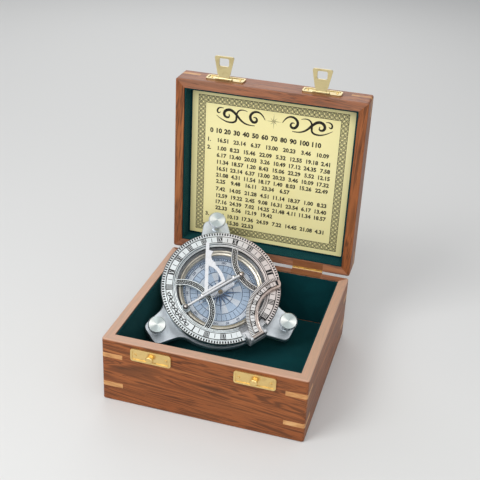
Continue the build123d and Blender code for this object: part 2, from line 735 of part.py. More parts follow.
# The drum that carries the dial, with the hinge lugs of the ring and of the arc
ring_hinge_z = ring_underside - ring_hinge_drop
ring_top = ring_underside + ring_thickness
arc_underside = ring_top + arc_over_ring
arc_hinge_z = arc_underside + arc_thickness / 2
arc_foot_low = arc_centre_along - arc_outer
arc_foot_high = arc_centre_along - arc_inner
lug_low = arc_foot_low - arc_lug_gap - arc_lug_width
lug_high = arc_foot_high + arc_lug_gap + arc_lug_width
drum_inner = drum_radius - drum_wall
drum_base = plate_thickness
slot_centre_z = drum_top - slot_drop
ring_lug_reach = ring_knuckle_width / 2 + ring_lug_play + ring_lug_width
with BuildPart() as drum:
    turned([
        (0, drum_base),
        (drum_radius - drum_foot_round, drum_base),
        (drum_radius, drum_base + drum_foot_round),
        (drum_radius, drum_top),
        (drum_inner, drum_top),
        (drum_inner, drum_base + drum_floor),
        (0, drum_base + drum_floor),
    ])
    with BuildSketch(across(0, 0)):
        with BuildLine():
            Polyline(
                (drum_radius - ring_lug_root, ring_hinge_z - ring_knuckle_radius - ring_lug_root),
                (ring_hinge_reach, ring_hinge_z - ring_knuckle_radius),
                (ring_hinge_reach, ring_hinge_z + ring_knuckle_radius),
                (drum_radius - ring_lug_root, ring_hinge_z + ring_knuckle_radius),
                close=True,
            )
        make_face()
        with Locations((ring_hinge_reach, ring_hinge_z)):
            Circle(ring_knuckle_radius)
    extrude(amount=ring_lug_reach, both=True)
    with BuildSketch(across(0, 0)):
        with Locations((ring_hinge_reach + ring_lug_root, ring_hinge_z)):
            Rectangle(2 * (ring_knuckle_radius + ring_lug_root), 6 * ring_knuckle_radius)
    extrude(amount=ring_knuckle_width / 2 + ring_lug_play, both=True, mode=Mode.SUBTRACT)
    with BuildSketch(across(ring_hinge_reach, ring_hinge_z)):
        Circle(ring_pin_radius)
    extrude(amount=ring_knuckle_width * 2, both=True, mode=Mode.SUBTRACT)
    with BuildSketch(upright(lug_low, 0)):
        with BuildLine():
            Polyline(
                (drum_radius - arc_block_root, -drum_base - arc_block_rise),
                (arc_block_reach - arc_block_root, -drum_base - arc_block_rise),
                (arc_block_reach, -drum_base - arc_block_chamfer_rise),
                (arc_block_reach, -arc_block_top),
                (drum_radius - arc_block_root, -arc_block_top),
                close=True,
            )
        make_face()
        with BuildLine():
            Polyline(
                (arc_hinge_reach - arc_knuckle_radius, -arc_block_top + 1.0),
                (arc_hinge_reach + arc_knuckle_radius, -arc_block_top + 1.0),
                (arc_hinge_reach + arc_knuckle_radius, -arc_hinge_z),
                (arc_hinge_reach - arc_knuckle_radius, -arc_hinge_z),
                close=True,
            )
        make_face()
        with Locations((arc_hinge_reach, -arc_hinge_z)):
            Circle(arc_knuckle_radius)
    extrude(amount=lug_high - lug_low)
    with BuildSketch(dial.offset(arc_block_top)):
        with Locations((arc_hinge_reach, (arc_foot_low + arc_foot_high) / 2)):
            Rectangle(4 * arc_knuckle_radius, arc_outer - arc_inner + 2 * arc_lug_gap)
    extrude(amount=3 * arc_knuckle_radius, mode=Mode.SUBTRACT)
    with BuildSketch(along(arc_hinge_reach, arc_hinge_z)):
        Circle(arc_pin_radius)
    extrude(amount=arc_outer, both=True, mode=Mode.SUBTRACT)
    with BuildSketch(upright(0, slot_centre_z)):
        RectangleRounded(slot_width, slot_height, slot_corner)
    extrude(amount=-(drum_radius + 2), mode=Mode.SUBTRACT)
finish(drum, "dial_drum")

# The capsule of the compass: a cup with the card, a pivot, a needle with its cap, a glass and a bezel
capsule_low = drum_base + drum_floor
card_low = capsule_low + capsule_floor
with BuildPart() as capsule:
    turned([
        (0, capsule_low),
        (capsule_radius, capsule_low),
        (capsule_radius, capsule_top),
        (glass_radius + fit, capsule_top),
        (glass_radius + fit, capsule_top - glass_thickness),
        (capsule_radius - capsule_wall, capsule_top - glass_thickness),
        (capsule_radius - capsule_wall, card_low),
        (0, card_low),
    ])
finish(capsule, "compass_capsule")

with BuildPart() as compass_card:
    with BuildSketch(dial.offset(card_low)):
        Circle(card_radius)
        Circle(pivot_foot_radius, mode=Mode.SUBTRACT)
    extrude(amount=card_thickness)
finish(compass_card, "compass_card")

with BuildPart() as pivot:
    turned([
        (0, card_low),
        (pivot_foot_radius, card_low),
        (pivot_foot_radius, card_low + card_thickness),
        (pivot_radius, card_low + card_thickness + pivot_foot_rise),
        (pivot_radius, needle_height),
        (0, needle_height + pivot_radius),
    ])
finish(pivot, "needle_pivot")

with BuildPart() as needle:
    with BuildSketch(dial.offset(needle_height)):
        with BuildLine():
            Polyline(
                (0, needle_half_length),
                (-needle_half_width, 0),
                (0, -needle_half_length),
                (needle_half_width, 0),
                close=True,
            )
        make_face()
        Circle(cap_radius)
        Circle(cap_radius - cap_rim, mode=Mode.SUBTRACT)
    extrude(amount=needle_thickness)
finish(needle, "compass_needle")

with BuildPart() as needle_cap:
    turned([
        (pivot_radius + cap_play, needle_height - needle_thickness),
        (cap_radius - cap_rim, needle_height - needle_thickness),
        (cap_radius - cap_rim, needle_height + needle_thickness),
        (cap_radius - cap_rim / 2, needle_height + needle_thickness + cap_play),
        (pivot_radius * 2, needle_height + cap_height),
        (0, needle_height + cap_height),
        (0, needle_height + pivot_radius + cap_play),
        (pivot_radius + cap_play, needle_height + cap_play / 2),
    ])
finish(needle_cap, "needle_cap")

with BuildPart() as compass_glass:
    with BuildSketch(dial.offset(capsule_top - glass_thickness)):
        Circle(glass_radius)
    extrude(amount=glass_thickness)
finish(compass_glass, "compass_glass")

with BuildPart() as bezel:
    turned([
        (bezel_inner, capsule_top),
        (capsule_radius, capsule_top),
        (capsule_radius, capsule_top + bezel_height * 0.55),
        (capsule_radius - bezel_edge, capsule_top + bezel_height),
        (capsule_radius - bezel_edge - bezel_flat, capsule_top + bezel_height),
        (capsule_radius - bezel_edge - bezel_flat - bezel_step, capsule_top + bezel_height * 0.6),
        (bezel_inner + bezel_step, capsule_top + bezel_height * 0.3),
    ])
finish(bezel, "compass_bezel")

# The hour ring: a stepped band with a notch for the arc, two arches, a bar bracket and its knuckle
bar_z = ring_top + bar_lift
knuckle_top = ring_underside + ring_lug_play
bracket_low = -(ring_inner + ring_hinge_drop)
bracket_high = bar_south + post_pad_radius / 2


def arch(reach, toward):
    """An arch that bulges from the ring's inner edge towards the centre."""
    end_x = (ring_inner + 0.8) * sin(radians(arch_end_turn))
    end_y = toward * (ring_inner + 0.8) * cos(radians(arch_end_turn))
    with BuildSketch(dial.offset(ring_top - moulding_drop - arch_thickness)) as band:
        with BuildLine() as spine:
            ThreePointArc((-end_x, end_y), (0, toward * reach), (end_x, end_y))
        trace(spine.line, arch_width)
    extrude(band.sketch, amount=arch_thickness)


with BuildPart() as hour_ring:
    turned([
        (ring_inner, ring_underside),
        (ring_outer - ring_edge, ring_underside),
        (ring_outer, ring_underside + ring_edge),
        (ring_outer, ring_top - ring_edge),
        (ring_outer - ring_edge, ring_top),
        (ring_inner + moulding_width, ring_top),
        (ring_inner + moulding_width, ring_top - moulding_drop),
        (ring_inner, ring_top - moulding_drop),
    ])
    arch(north_arch_reach + arch_width / 2, 1)
    arch(south_arch_reach + arch_width / 2, -1)
    with BuildSketch(dial.offset(ring_top - moulding_drop - arch_thickness)):
        with Locations((0, (bracket_low + bracket_high) / 2)):
            Rectangle(bar_bracket_width, bracket_high - bracket_low)
        with Locations((0, bar_south), (0, bar_north)):
            Circle(post_pad_radius)
    extrude(amount=arch_thickness)
    with BuildSketch(dial.offset(ring_top - moulding_drop)):
        with Locations((0, bar_south), (0, bar_north)):
            Circle(knob_post_radius)
    extrude(amount=bar_lift + moulding_drop)
    with BuildSketch(across(0, 0)):
        with Locations((ring_hinge_reach, ring_hinge_z)):
            Circle(ring_knuckle_radius)
        with Locations((ring_hinge_reach, (ring_hinge_z + knuckle_top) / 2)):
            Rectangle(1.5 * ring_knuckle_radius, knuckle_top - ring_hinge_z)
    extrude(amount=ring_knuckle_width / 2, both=True)
    with BuildSketch(across(ring_hinge_reach, ring_hinge_z)):
        Circle(ring_pin_radius + fit)
    extrude(amount=ring_knuckle_width, both=True, mode=Mode.SUBTRACT)
    with BuildSketch(dial.offset(ring_underside - 1)):
        with Locations((ring_outer, (notch_low + notch_high) / 2)):
            Rectangle(2 * (ring_outer - ring_inner + 3), notch_high - notch_low)
    extrude(amount=ring_thickness + 4, mode=Mode.SUBTRACT)
    with BuildSketch(upright(0, bar_z)):
        Circle(bar_radius)
    extrude(amount=ring_outer, both=True, mode=Mode.SUBTRACT)
finish(hour_ring, "hour_ring")

with BuildPart() as ring_hinge_pin:
    with BuildSketch(across(ring_hinge_reach, ring_hinge_z)):
        Circle(ring_pin_radius)
    extrude(amount=ring_lug_reach, both=True)
finish(ring_hinge_pin, "ring_hinge_pin")

# The bar on which the gnomon turns, with a ball knob at each end
with BuildPart() as gnomon_bar:
    with BuildSketch(upright(bar_south, bar_z)):
        Circle(bar_radius)
    extrude(amount=bar_north - bar_south)
finish(gnomon_bar, "gnomon_bar")

with BuildPart() as bar_knobs:
    for knob_y in (bar_south - knob_radius * 0.2, bar_north + knob_radius * 0.2):
        with Locations(upright(knob_y, bar_z).location):
            Sphere(knob_radius)
    with BuildSketch(upright(0, bar_z)):
        Circle(bar_radius)
    extrude(amount=ring_outer, both=True, mode=Mode.SUBTRACT)
    with BuildSketch(dial.offset(ring_top - moulding_drop)):
        with Locations((0, bar_south), (0, bar_north)):
            Circle(knob_post_radius)
    extrude(amount=bar_lift + moulding_drop, mode=Mode.SUBTRACT)
finish(bar_knobs, "bar_knobs")

# The gnomon: a straight rod and a scrolled brace on a barrel, folded flat over the ring
rod_end_x = gnomon_rod_length * cos(radians(gnomon_rod_angle))
rod_end_y = gnomon_rod_foot + gnomon_rod_length * sin(radians(gnomon_rod_angle))
with BuildPart() as gnomon:
    with BuildSketch(dial.offset(bar_z - gnomon_thickness / 2)):
        with BuildLine() as rod:
            Line((0, gnomon_rod_foot), (rod_end_x, rod_end_y))
        trace(rod.line, gnomon_rod_width)
        with BuildLine() as brace:
            Spline(*brace_points)
        trace(brace.line, brace_width)
        with BuildLine():
            Polyline(*scroll_points, close=True)
        make_face()
        with Locations(scroll_centre):
            Circle(scroll_radius, mode=Mode.SUBTRACT)
        with BuildLine():
            Polyline(*gnomon_flange_points, close=True)
        make_face()
    extrude(amount=gnomon_thickness)
    with BuildSketch(upright(gnomon_barrel_south, bar_z)):
        Circle(gnomon_barrel_radius)
    extrude(amount=gnomon_barrel_north - gnomon_barrel_south)
    with BuildSketch(upright(0, bar_z)):
        Circle(bar_radius + gnomon_fit)
    extrude(amount=ring_outer, both=True, mode=Mode.SUBTRACT)
finish(gnomon, "gnomon")

# The latitude arc on its hinge, with a sunk rim and a rounded free end
with BuildPart() as latitude_arc:
    arc_centre = (arc_hinge_reach, arc_centre_along)
    arc_middle = (arc_outer + arc_inner) / 2
    start = 270.0
    groove_span = arc_groove_start + arc_groove_end - arc_span
    with BuildSketch(dial.offset(arc_underside)):
        with BuildLine() as arc_spine:
            CenterArc(arc_centre, arc_middle, start, -arc_span)
        trace(arc_spine.line, arc_outer - arc_inner)
        tips = vertices().filter_by(lambda v: v.X < arc_hinge_reach - arc_tip_round)
        fillet(tips, arc_tip_round)
    extrude(amount=arc_thickness)
    with BuildSketch(dial.offset(arc_underside + arc_thickness)):
        with BuildLine() as rim_spine:
            CenterArc(arc_centre, arc_inner + arc_rim_width, start - arc_groove_start, groove_span)
        trace(rim_spine.line, arc_groove_width)
    extrude(amount=-arc_rim_drop, mode=Mode.SUBTRACT)
    with BuildSketch(along(arc_hinge_reach, arc_hinge_z).offset(arc_foot_low)):
        Circle(arc_knuckle_radius)
    extrude(amount=arc_foot_high - arc_foot_low)
    with BuildSketch(along(arc_hinge_reach, arc_hinge_z)):
        Circle(arc_pin_radius + fit)
    extrude(amount=arc_outer, both=True, mode=Mode.SUBTRACT)
finish(latitude_arc, "latitude_arc")

with BuildPart() as arc_hinge_pin:
    with BuildSketch(along(arc_hinge_reach, arc_hinge_z).offset(lug_low)):
        Circle(arc_pin_radius)
    extrude(amount=lug_high - lug_low)
finish(arc_hinge_pin, "arc_hinge_pin")
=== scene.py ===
import math
import random

import bmesh
import bpy
from mathutils import Matrix, Vector, noise


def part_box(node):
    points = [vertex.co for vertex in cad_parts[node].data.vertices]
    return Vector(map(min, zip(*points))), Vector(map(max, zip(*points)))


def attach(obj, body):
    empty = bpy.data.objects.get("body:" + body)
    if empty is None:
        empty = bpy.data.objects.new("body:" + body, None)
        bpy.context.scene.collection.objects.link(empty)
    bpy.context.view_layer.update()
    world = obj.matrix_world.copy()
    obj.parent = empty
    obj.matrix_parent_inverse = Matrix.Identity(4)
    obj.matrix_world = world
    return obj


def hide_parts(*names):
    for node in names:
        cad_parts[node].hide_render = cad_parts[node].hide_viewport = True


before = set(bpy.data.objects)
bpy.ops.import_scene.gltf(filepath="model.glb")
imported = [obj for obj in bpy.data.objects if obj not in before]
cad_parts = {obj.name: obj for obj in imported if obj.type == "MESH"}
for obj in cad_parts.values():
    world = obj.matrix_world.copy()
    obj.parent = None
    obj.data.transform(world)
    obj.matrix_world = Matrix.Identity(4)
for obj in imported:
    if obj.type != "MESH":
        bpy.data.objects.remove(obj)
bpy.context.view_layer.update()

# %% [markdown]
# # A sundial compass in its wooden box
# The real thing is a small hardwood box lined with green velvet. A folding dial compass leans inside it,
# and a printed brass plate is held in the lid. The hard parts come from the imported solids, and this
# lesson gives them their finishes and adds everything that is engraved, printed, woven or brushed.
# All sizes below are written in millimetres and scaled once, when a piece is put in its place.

MM = 0.001
chance = random.Random(7)

# %% [markdown]
# ## Two drawing boards
# Almost every detail lies on one of two flat places: the face of the leaning dial, and the face of the
# plate in the lid. Each gets a matrix, so that a drawing made flat at the origin lands on the real surface.
# The dial's board has its middle on the dial's axis, and its height zero is the underside of its base.

# %% The dial's board and the lid plate's board
lean, turn, arc_side_turn = math.radians(37.55), math.radians(23), math.radians(-60)
dial_middle = Vector((-18.32, 25.98, 37.965)) * MM
dial_board = (
    Matrix.Translation(dial_middle)
    @ Matrix.Rotation(turn, 4, "Z")
    @ Matrix.Rotation(lean, 4, "X")
    @ Matrix.Rotation(arc_side_turn, 4, "Z")
)
upright = Matrix.Rotation(math.radians(90), 4, "X")


def measured(name):
    """The two corners of a solid's box, and its three lengths in millimetres."""
    low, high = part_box(name)
    return low, high, [(high[axis] - low[axis]) / MM for axis in range(3)]


plate_low, plate_high, (plate_width, _, plate_height) = measured("placard")
plate_centre = Vector(((plate_low.x + plate_high.x) / 2, plate_low.y, (plate_low.z + plate_high.z) / 2))
plate_board = Matrix.Translation(plate_centre) @ upright
print("lid plate", round(plate_width, 1), "by", round(plate_height, 1), "mm")

# %% [markdown]
# ## Small helpers
# A raised bar, a section swept round an axis, a flat shape with a thickness, and figures set in the
# built-in face are enough for every engraved or printed mark. Bmesh operators make all of them: a cube
# stretched by a matrix, a spin, and an extruded face. A finished drawing is settled once, which closes
# its normals, places it, gives it its finish and lets it ride on the body that carries it.

# %% Helpers for marks
def bar(drawing, start, end, width, low, high, place=Matrix()):
    """A straight raised bar between two points of a board."""
    start, end = Vector(start), Vector(end)
    run = end - start
    middle = (start + end) / 2
    shape = (
        Matrix.Translation((middle.x, middle.y, (low + high) / 2))
        @ Matrix.Rotation(math.atan2(run.y, run.x), 4, "Z")
        @ Matrix.Diagonal((run.length, width, high - low, 1))
    )
    bmesh.ops.create_cube(drawing, size=1, matrix=place @ shape)


def swept(drawing, section, first, last, steps, centre=(0, 0)):
    """Spin a closed section of radius and height points about an upright axis, in degrees."""
    across = Vector((math.cos(math.radians(first)), math.sin(math.radians(first)), 0))
    middle = Vector((centre[0], centre[1], 0))
    corners = [drawing.verts.new(middle + across * r + Vector((0, 0, z))) for r, z in section]
    face = drawing.faces.new(corners)
    whole = abs(last - first) > 359.9
    geometry = corners + list(face.edges)
    if whole:
        bmesh.ops.delete(drawing, geom=[face], context="FACES_ONLY")
    else:
        geometry.append(face)
    bmesh.ops.spin(drawing, geom=geometry, cent=middle, axis=(0, 0, 1), dvec=(0, 0, 0),
                   angle=math.radians(last - first), steps=steps, use_merge=whole, use_duplicate=False)


def flat_shape(drawing, outline, low, high):
    """A flat shape with straight sides and a thickness."""
    face = drawing.faces.new([drawing.verts.new((x, y, low)) for x, y in outline])
    raised = bmesh.ops.extrude_face_region(drawing, geom=[face])
    top = [v for v in raised["geom"] if isinstance(v, bmesh.types.BMVert)]
    bmesh.ops.translate(drawing, verts=top, vec=(0, 0, high - low))


def figures(drawing, words, size, place, depth, weight=0.022):
    """Set plain figures, centred on the origin of a place, and add them to a drawing."""
    curve = bpy.data.curves.new("figures", "FONT")
    curve.body, curve.size, curve.extrude, curve.resolution_u = words, size, depth, 2
    curve.align_x = curve.align_y = "CENTER"
    curve.offset = size * weight
    add_curve(drawing, curve, place)


def add_curve(drawing, curve, place):
    """Turn a curve into a mesh, place it and add it to a drawing."""
    holder = bpy.data.objects.new(curve.name, curve)
    made = bpy.data.meshes.new_from_object(holder)
    made.transform(place)
    drawing.from_mesh(made)
    bpy.data.objects.remove(holder)
    bpy.data.curves.remove(curve)
    bpy.data.meshes.remove(made)


# %% Helpers for places and sections
def polar(radius, degrees, centre=(0, 0)):
    """A point of a board by its distance and its angle round a centre."""
    angle = math.radians(degrees)
    return (centre[0] + radius * math.cos(angle), centre[1] + radius * math.sin(angle))


def spoke(drawing, inner, outer, degrees, width, low, high, centre=(0, 0)):
    """A straight raised bar that points outward from a centre."""
    bar(drawing, polar(inner, degrees, centre), polar(outer, degrees, centre), width, low, high)


def facing_out(radius, degrees, height, centre=(0, 0)):
    """A place on a board for a figure that stands outward from a centre."""
    return (Matrix.Translation((*polar(radius, degrees, centre), height))
            @ Matrix.Rotation(math.radians(degrees - 90), 4, "Z"))


def rib(radius, height, width, rise):
    """The section of a small rounded rib that stands on a surface."""
    half = width / 2
    return [(radius - half, height), (radius + half, height), (radius + half * 0.6, height + rise * 0.8),
            (radius, height + rise), (radius - half * 0.6, height + rise * 0.8)]


def slab(inner, outer, low, high):
    """The section of a flat band with square edges."""
    return [(inner, low), (outer, low), (outer, high), (inner, high)]


def sloped(inner, outer, level, rise, slope=0.15):
    """The section of a low panel with sloping edges."""
    return [(inner, level), (outer, level), (outer - slope, level + rise), (inner + slope, level + rise)]


# %% Helpers that settle a finished drawing
def settle(drawing, name, body, board, finish, smooth=None):
    """Close, place and finish a drawing, and let it ride on a body."""
    bmesh.ops.recalc_face_normals(drawing, faces=drawing.faces)
    drawing.transform(board @ Matrix.Scale(MM, 4))
    mesh = bpy.data.meshes.new(name)
    drawing.to_mesh(mesh)
    drawing.free()
    mesh.materials.append(finish)
    if smooth is not None:
        mesh.shade_smooth()
        mesh.set_sharp_from_angle(angle=math.radians(smooth))
    piece = bpy.data.objects.new(name, mesh)
    bpy.context.scene.collection.objects.link(piece)
    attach(piece, body)
    print(name, "has", len(mesh.polygons), "faces and rides on", body)
    return piece


def on_dial(drawing, name, finish, smooth=None, body="hour_ring"):
    """Settle a drawing made on the dial's board."""
    return settle(drawing, name, body, dial_board, finish, smooth)


# %% Helpers for finishes
def painted(red, green, blue):
    """A colour written as it is seen on a screen, as the shader wants it."""
    steps = [v / 255 for v in (red, green, blue)]
    return tuple(v / 12.92 if v <= 0.04045 else ((v + 0.055) / 1.055) ** 2.4 for v in steps) + (1.0,)


def add(tree, kind, wires=None, **settings):
    """Add a shader node, with values or wires for its sockets."""
    made = tree.nodes.new(kind)
    for key, value in settings.items():
        setattr(made, key, value)
    for key, value in (wires or {}).items():
        if isinstance(value, bpy.types.NodeSocket):
            tree.links.new(value, made.inputs[key])
        else:
            made.inputs[key].default_value = value
    return made


def start_finish(name, **sockets):
    """A new finish with its constant values on the shader's own sockets."""
    material = bpy.data.materials.new(name)
    material.use_nodes = True
    shader = material.node_tree.nodes["Principled BSDF"]
    for key, value in sockets.items():
        shader.inputs[key.replace("_", " ")].default_value = value
    return material, material.node_tree, shader


def wire(tree, shader, colour, rough=None):
    """Give a shader its colour, and its roughness where that varies."""
    tree.links.new(colour, shader.inputs["Base Color"])
    if rough is not None:
        tree.links.new(rough, shader.inputs["Roughness"])


even = (1, 1, 1)


def spots(tree, stretch, scale, detail=3.0, twist=0.0, rough=0.55, slope=(0, 0, 0)):
    """Noise over the piece's own coordinates, stretched along an axis that may slope a little."""
    place = add(tree, "ShaderNodeTexCoord").outputs["Object"]
    place = add(tree, "ShaderNodeMapping", {"Vector": place, "Rotation": slope}).outputs["Vector"]
    place = add(tree, "ShaderNodeMapping", {"Vector": place, "Scale": stretch}).outputs["Vector"]
    made = add(tree, "ShaderNodeTexNoise",
               {"Vector": place, "Scale": scale, "Detail": detail, "Distortion": twist, "Roughness": rough})
    return made.outputs["Fac"]


def ramp(tree, factor, stops):
    """Colours along a factor, from a list of places and colours."""
    made = add(tree, "ShaderNodeValToRGB", {"Fac": factor})
    band = made.color_ramp
    for element, (place, colour) in zip(band.elements, (stops[0], stops[-1])):
        element.position, element.color = place, painted(*colour)
    for place, colour in stops[1:-1]:
        band.elements.new(place).color = painted(*colour)
    return made.outputs["Color"]


def mixed(tree, factor, first, second):
    """Two colours mixed by a factor. A plain colour is written as it is seen on a screen."""
    first, second = (painted(*tone) if isinstance(tone, tuple) else tone for tone in (first, second))
    return add(tree, "ShaderNodeMix", {0: factor, 6: first, 7: second}, data_type="RGBA").outputs[2]


def between(tree, factor, low=0.0, high=1.0, start=0.0, stop=1.0):
    """A number that runs from low to high while a factor runs from start to stop."""
    return add(tree, "ShaderNodeMapRange", {"Value": factor, "From Min": start, "From Max": stop,
                                            "To Min": low, "To Max": high}).outputs["Result"]


def reckoned(tree, how, first, second=0.5):
    """The result of one sum on numbers."""
    return add(tree, "ShaderNodeMath", {0: first, 1: second}, operation=how).outputs[0]


def own_place(tree):
    """The piece's own coordinates, as one vector and split in three."""
    place = add(tree, "ShaderNodeTexCoord").outputs["Object"]
    return place, add(tree, "ShaderNodeSeparateXYZ", {"Vector": place}).outputs


def relief(tree, shader, height, strength, depth):
    """Fine relief in a finish, from a height."""
    bump = add(tree, "ShaderNodeBump", {"Height": height, "Strength": strength, "Distance": depth})
    tree.links.new(bump.outputs["Normal"], shader.inputs["Normal"])


def two_tone(name, dark, light, scale, detail=3, twist=0.2, gloss=None, **sockets):
    """A finish that drifts between two colours, and between two roughnesses if given."""
    material, tree, shader = start_finish(name, **sockets)
    drift = spots(tree, even, scale, detail, twist)
    wire(tree, shader, mixed(tree, drift, dark, light), gloss and between(tree, drift, *gloss))
    return material


def coat(finish, *names):
    """Give solids of the frame a finish."""
    for name in names:
        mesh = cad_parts[name].data
        mesh.materials.clear()
        mesh.materials.append(finish)


# %% [markdown]
# ## The rosewood
# The walls are oiled sheesham: warm red brown with wandering dark lines, short open pores and a few
# paler bands. The grain runs along each wall, so there is one finish for each direction. Three layers of
# noise stretched along the grain make it. The widest draws the figure, the next the fine fibres, and the
# thinnest the pores, which also sink a little into the surface. A paler band along the top rim of the base
# is a painted highlight, where light catches the rim.

# %% Rosewood finishes
along_x, along_y, along_z = (0.045, 1, 1), (1, 0.045, 1), (1, 1, 0.045)
grain_slope = tuple(math.radians(v) for v in (1.5, -4.5, 2.0))
top_rim = (0.0474, 0.0484)
wood_stops = [
    (0.28, (56, 22, 9)), (0.37, (108, 54, 25)), (0.43, (156, 86, 44)), (0.456, (142, 76, 37)),
    (0.472, (70, 29, 11)), (0.488, (86, 39, 17)), (0.504, (146, 78, 38)), (0.545, (132, 69, 34)),
    (0.560, (74, 32, 13)), (0.578, (88, 42, 19)), (0.596, (150, 84, 42)), (0.70, (176, 110, 62)),
]


def rosewood(name, stretch, offset=0.0, pale=0.0, rim_highlight=None, wear=(200, 138, 86)):
    """Oiled sheesham with its grain along one axis, and a pale painted highlight along a top rim where given."""
    material, tree, shader = start_finish(name, Coat_Weight=0.05, Coat_Roughness=0.35, Specular_IOR_Level=0.25)
    figure = spots(tree, stretch, 120 + offset, 4, 0.8, 0.58, grain_slope)
    fibre = spots(tree, stretch, 620, 3, 0.3, 0.6, grain_slope)
    pore = spots(tree, stretch, 1500, 2, 0.1, 0.6, grain_slope)
    patch = spots(tree, even, 14, 2, 0.4)
    colour = ramp(tree, figure, wood_stops)
    colour = mixed(tree, between(tree, fibre, 0.0, 0.3), colour, (92, 44, 24))
    colour = mixed(tree, between(tree, patch, 0.0, 0.22 + pale), colour, wear)
    colour = mixed(tree, between(tree, pore, 0.0, 0.6, 0.60, 0.70), colour, (68, 32, 16))
    # A paler band by height along the top rim is a painted highlight, for the light that catches the rim.
    if rim_highlight:
        height = own_place(tree)[1]["Z"]
        colour = mixed(tree, between(tree, height, 0.0, 0.55, *rim_highlight), colour, (232, 198, 174))
    wire(tree, shader, colour, between(tree, fibre, 0.36, 0.56))
    relief(tree, shader, pore, 0.22, 0.0002)
    return material


planks = (
    (rosewood("rosewood_along_x", along_x, rim_highlight=top_rim), ("base_wall_front", "bottom_panel")),
    (rosewood("rosewood_along_y", along_y, 7, 0.1, top_rim), ("base_wall_left", "base_wall_right")),
    (rosewood("rosewood_along_z", along_z, 13, 0.08), ("lid_wall_left", "lid_wall_right")),
    (rosewood("rosewood_lid_x", along_x, 21, 0.3, wear=(206, 160, 132)),
     ("lid_wall_front", "lid_wall_back", "lid_panel", "base_wall_back")),
)
for finish, names in planks:
    coat(finish, *names)
print("rosewood on", sum(len(names) for _, names in planks), "solids")

# %% [markdown]
# ## The light corner keys
# Thin keys of a pale wood lock each mitre. On the real box they are the only light stripes in the wood.
# Their end grain shows, so the noise is stretched less than in the walls, and the colour stays warm.

# %% Light wood finish
key_wood, tree, shader = start_finish("pale_key_wood", Coat_Weight=0.12, Coat_Roughness=0.35)
streak = spots(tree, (0.25, 0.25, 1), 420, 4, 0.5)
tone = ramp(tree, streak, [(0.3, (168, 112, 62)), (0.5, (202, 146, 88)), (0.7, (218, 168, 112))])
wire(tree, shader, tone, between(tree, streak, 0.42, 0.6))
relief(tree, shader, streak, 0.15, 0.0002)
coat(key_wood, "base_corner_keys", "lid_corner_keys")

# %% [markdown]
# ## Metals
# Brass, silver, nickel and steel differ in colour and in how they were worked. Brushing is noise
# stretched along one axis, and handling is a slower noise that changes the roughness. The dial's silver
# carries a painted warm reflection towards one side, and its hollows are filled with a dark patina.

# %% Metal finishes
# The warm tone, its direction and its reach give the silver a painted warm reflection on one side.
warm_reflection_side, warm_reflection_tone, warm_reflection_reach = (0.8, 0.6, 0), (206, 168, 152), 0.035


def metal(name, light, dark, roughness, stretch=even, scale=900, worn=0.25, depth=0.00006, warm_reflection=0.0, metallic=1.0):
    """A worked metal with brushing, stains and uneven gloss, and a painted warm reflection that may lie on one
    side.
    """
    material, tree, shader = start_finish(name, Metallic=metallic)
    brushed = spots(tree, stretch, scale, 3, 0.2)
    stain = spots(tree, even, 160, 4, 0.8)
    colour = mixed(tree, between(tree, brushed, 0.0, 0.25), light, dark)
    colour = mixed(tree, between(tree, stain, 0.0, worn, 0.5, 0.72), colour, dark)
    # The silver turns warmer towards one side: a painted reflection.
    if warm_reflection:
        side = add(tree, "ShaderNodeVectorMath", {0: own_place(tree)[0], 1: warm_reflection_side}, operation="DOT_PRODUCT")
        side = between(tree, side.outputs["Value"], 0.0, warm_reflection, 0.0, warm_reflection_reach)
        colour = mixed(tree, side, colour, warm_reflection_tone)
    wire(tree, shader, colour, between(tree, stain, roughness * 0.75, roughness * 1.35))
    relief(tree, shader, brushed, 0.2, depth)
    return material


aged_brass = metal("aged_brass", (206, 172, 104), (96, 74, 42), 0.34)
satin_brass = metal("satin_brass", (244, 214, 146), (182, 142, 80), 0.4, (1, 1, 6), 260)
pale_brass = metal("pale_brass_hasps", (222, 206, 156), (150, 122, 70), 0.3, (1, 1, 5), 300)
nickel = metal("brushed_nickel", (234, 240, 244), (134, 142, 148), 0.38, (5, 1, 2), 300)
bright_steel = metal("polished_steel", (244, 245, 246), (150, 152, 156), 0.2, (4, 1, 1), 300, 0.12)
satin_steel = metal("satin_steel", (250, 250, 250), (190, 192, 194), 0.5, (4, 1, 1), 300, 0.12)
dial_silver = metal("dial_silver", (192, 204, 208), (92, 92, 94), 0.33, worn=0.5, warm_reflection=0.5)
light_silver = metal("cartouche_silver", (234, 240, 240), (168, 168, 166), 0.38, worn=0.2, warm_reflection=0.45)
drum_silver = metal("drum_silver", (232, 234, 236), (130, 132, 136), 0.55, (1, 1, 8), 220, 0.4, metallic=0.6)
moulding_silver = metal("moulding_silver", (198, 192, 186), (84, 78, 74), 0.3, worn=0.5, warm_reflection=0.4)
bezel_gold = metal("bezel_gold", (212, 206, 192), (116, 108, 94), 0.34, worn=0.4)
patina, tree, shader = start_finish("hollow_patina", Specular_IOR_Level=0.25)
grime = spots(tree, even, 700, 4, 0.4)
wire(tree, shader, ramp(tree, grime, [(0.3, (14, 13, 14)), (0.7, (46, 45, 46))]), between(tree, grime, 0.55, 0.8))
relief(tree, shader, grime, 0.2, 0.0001)

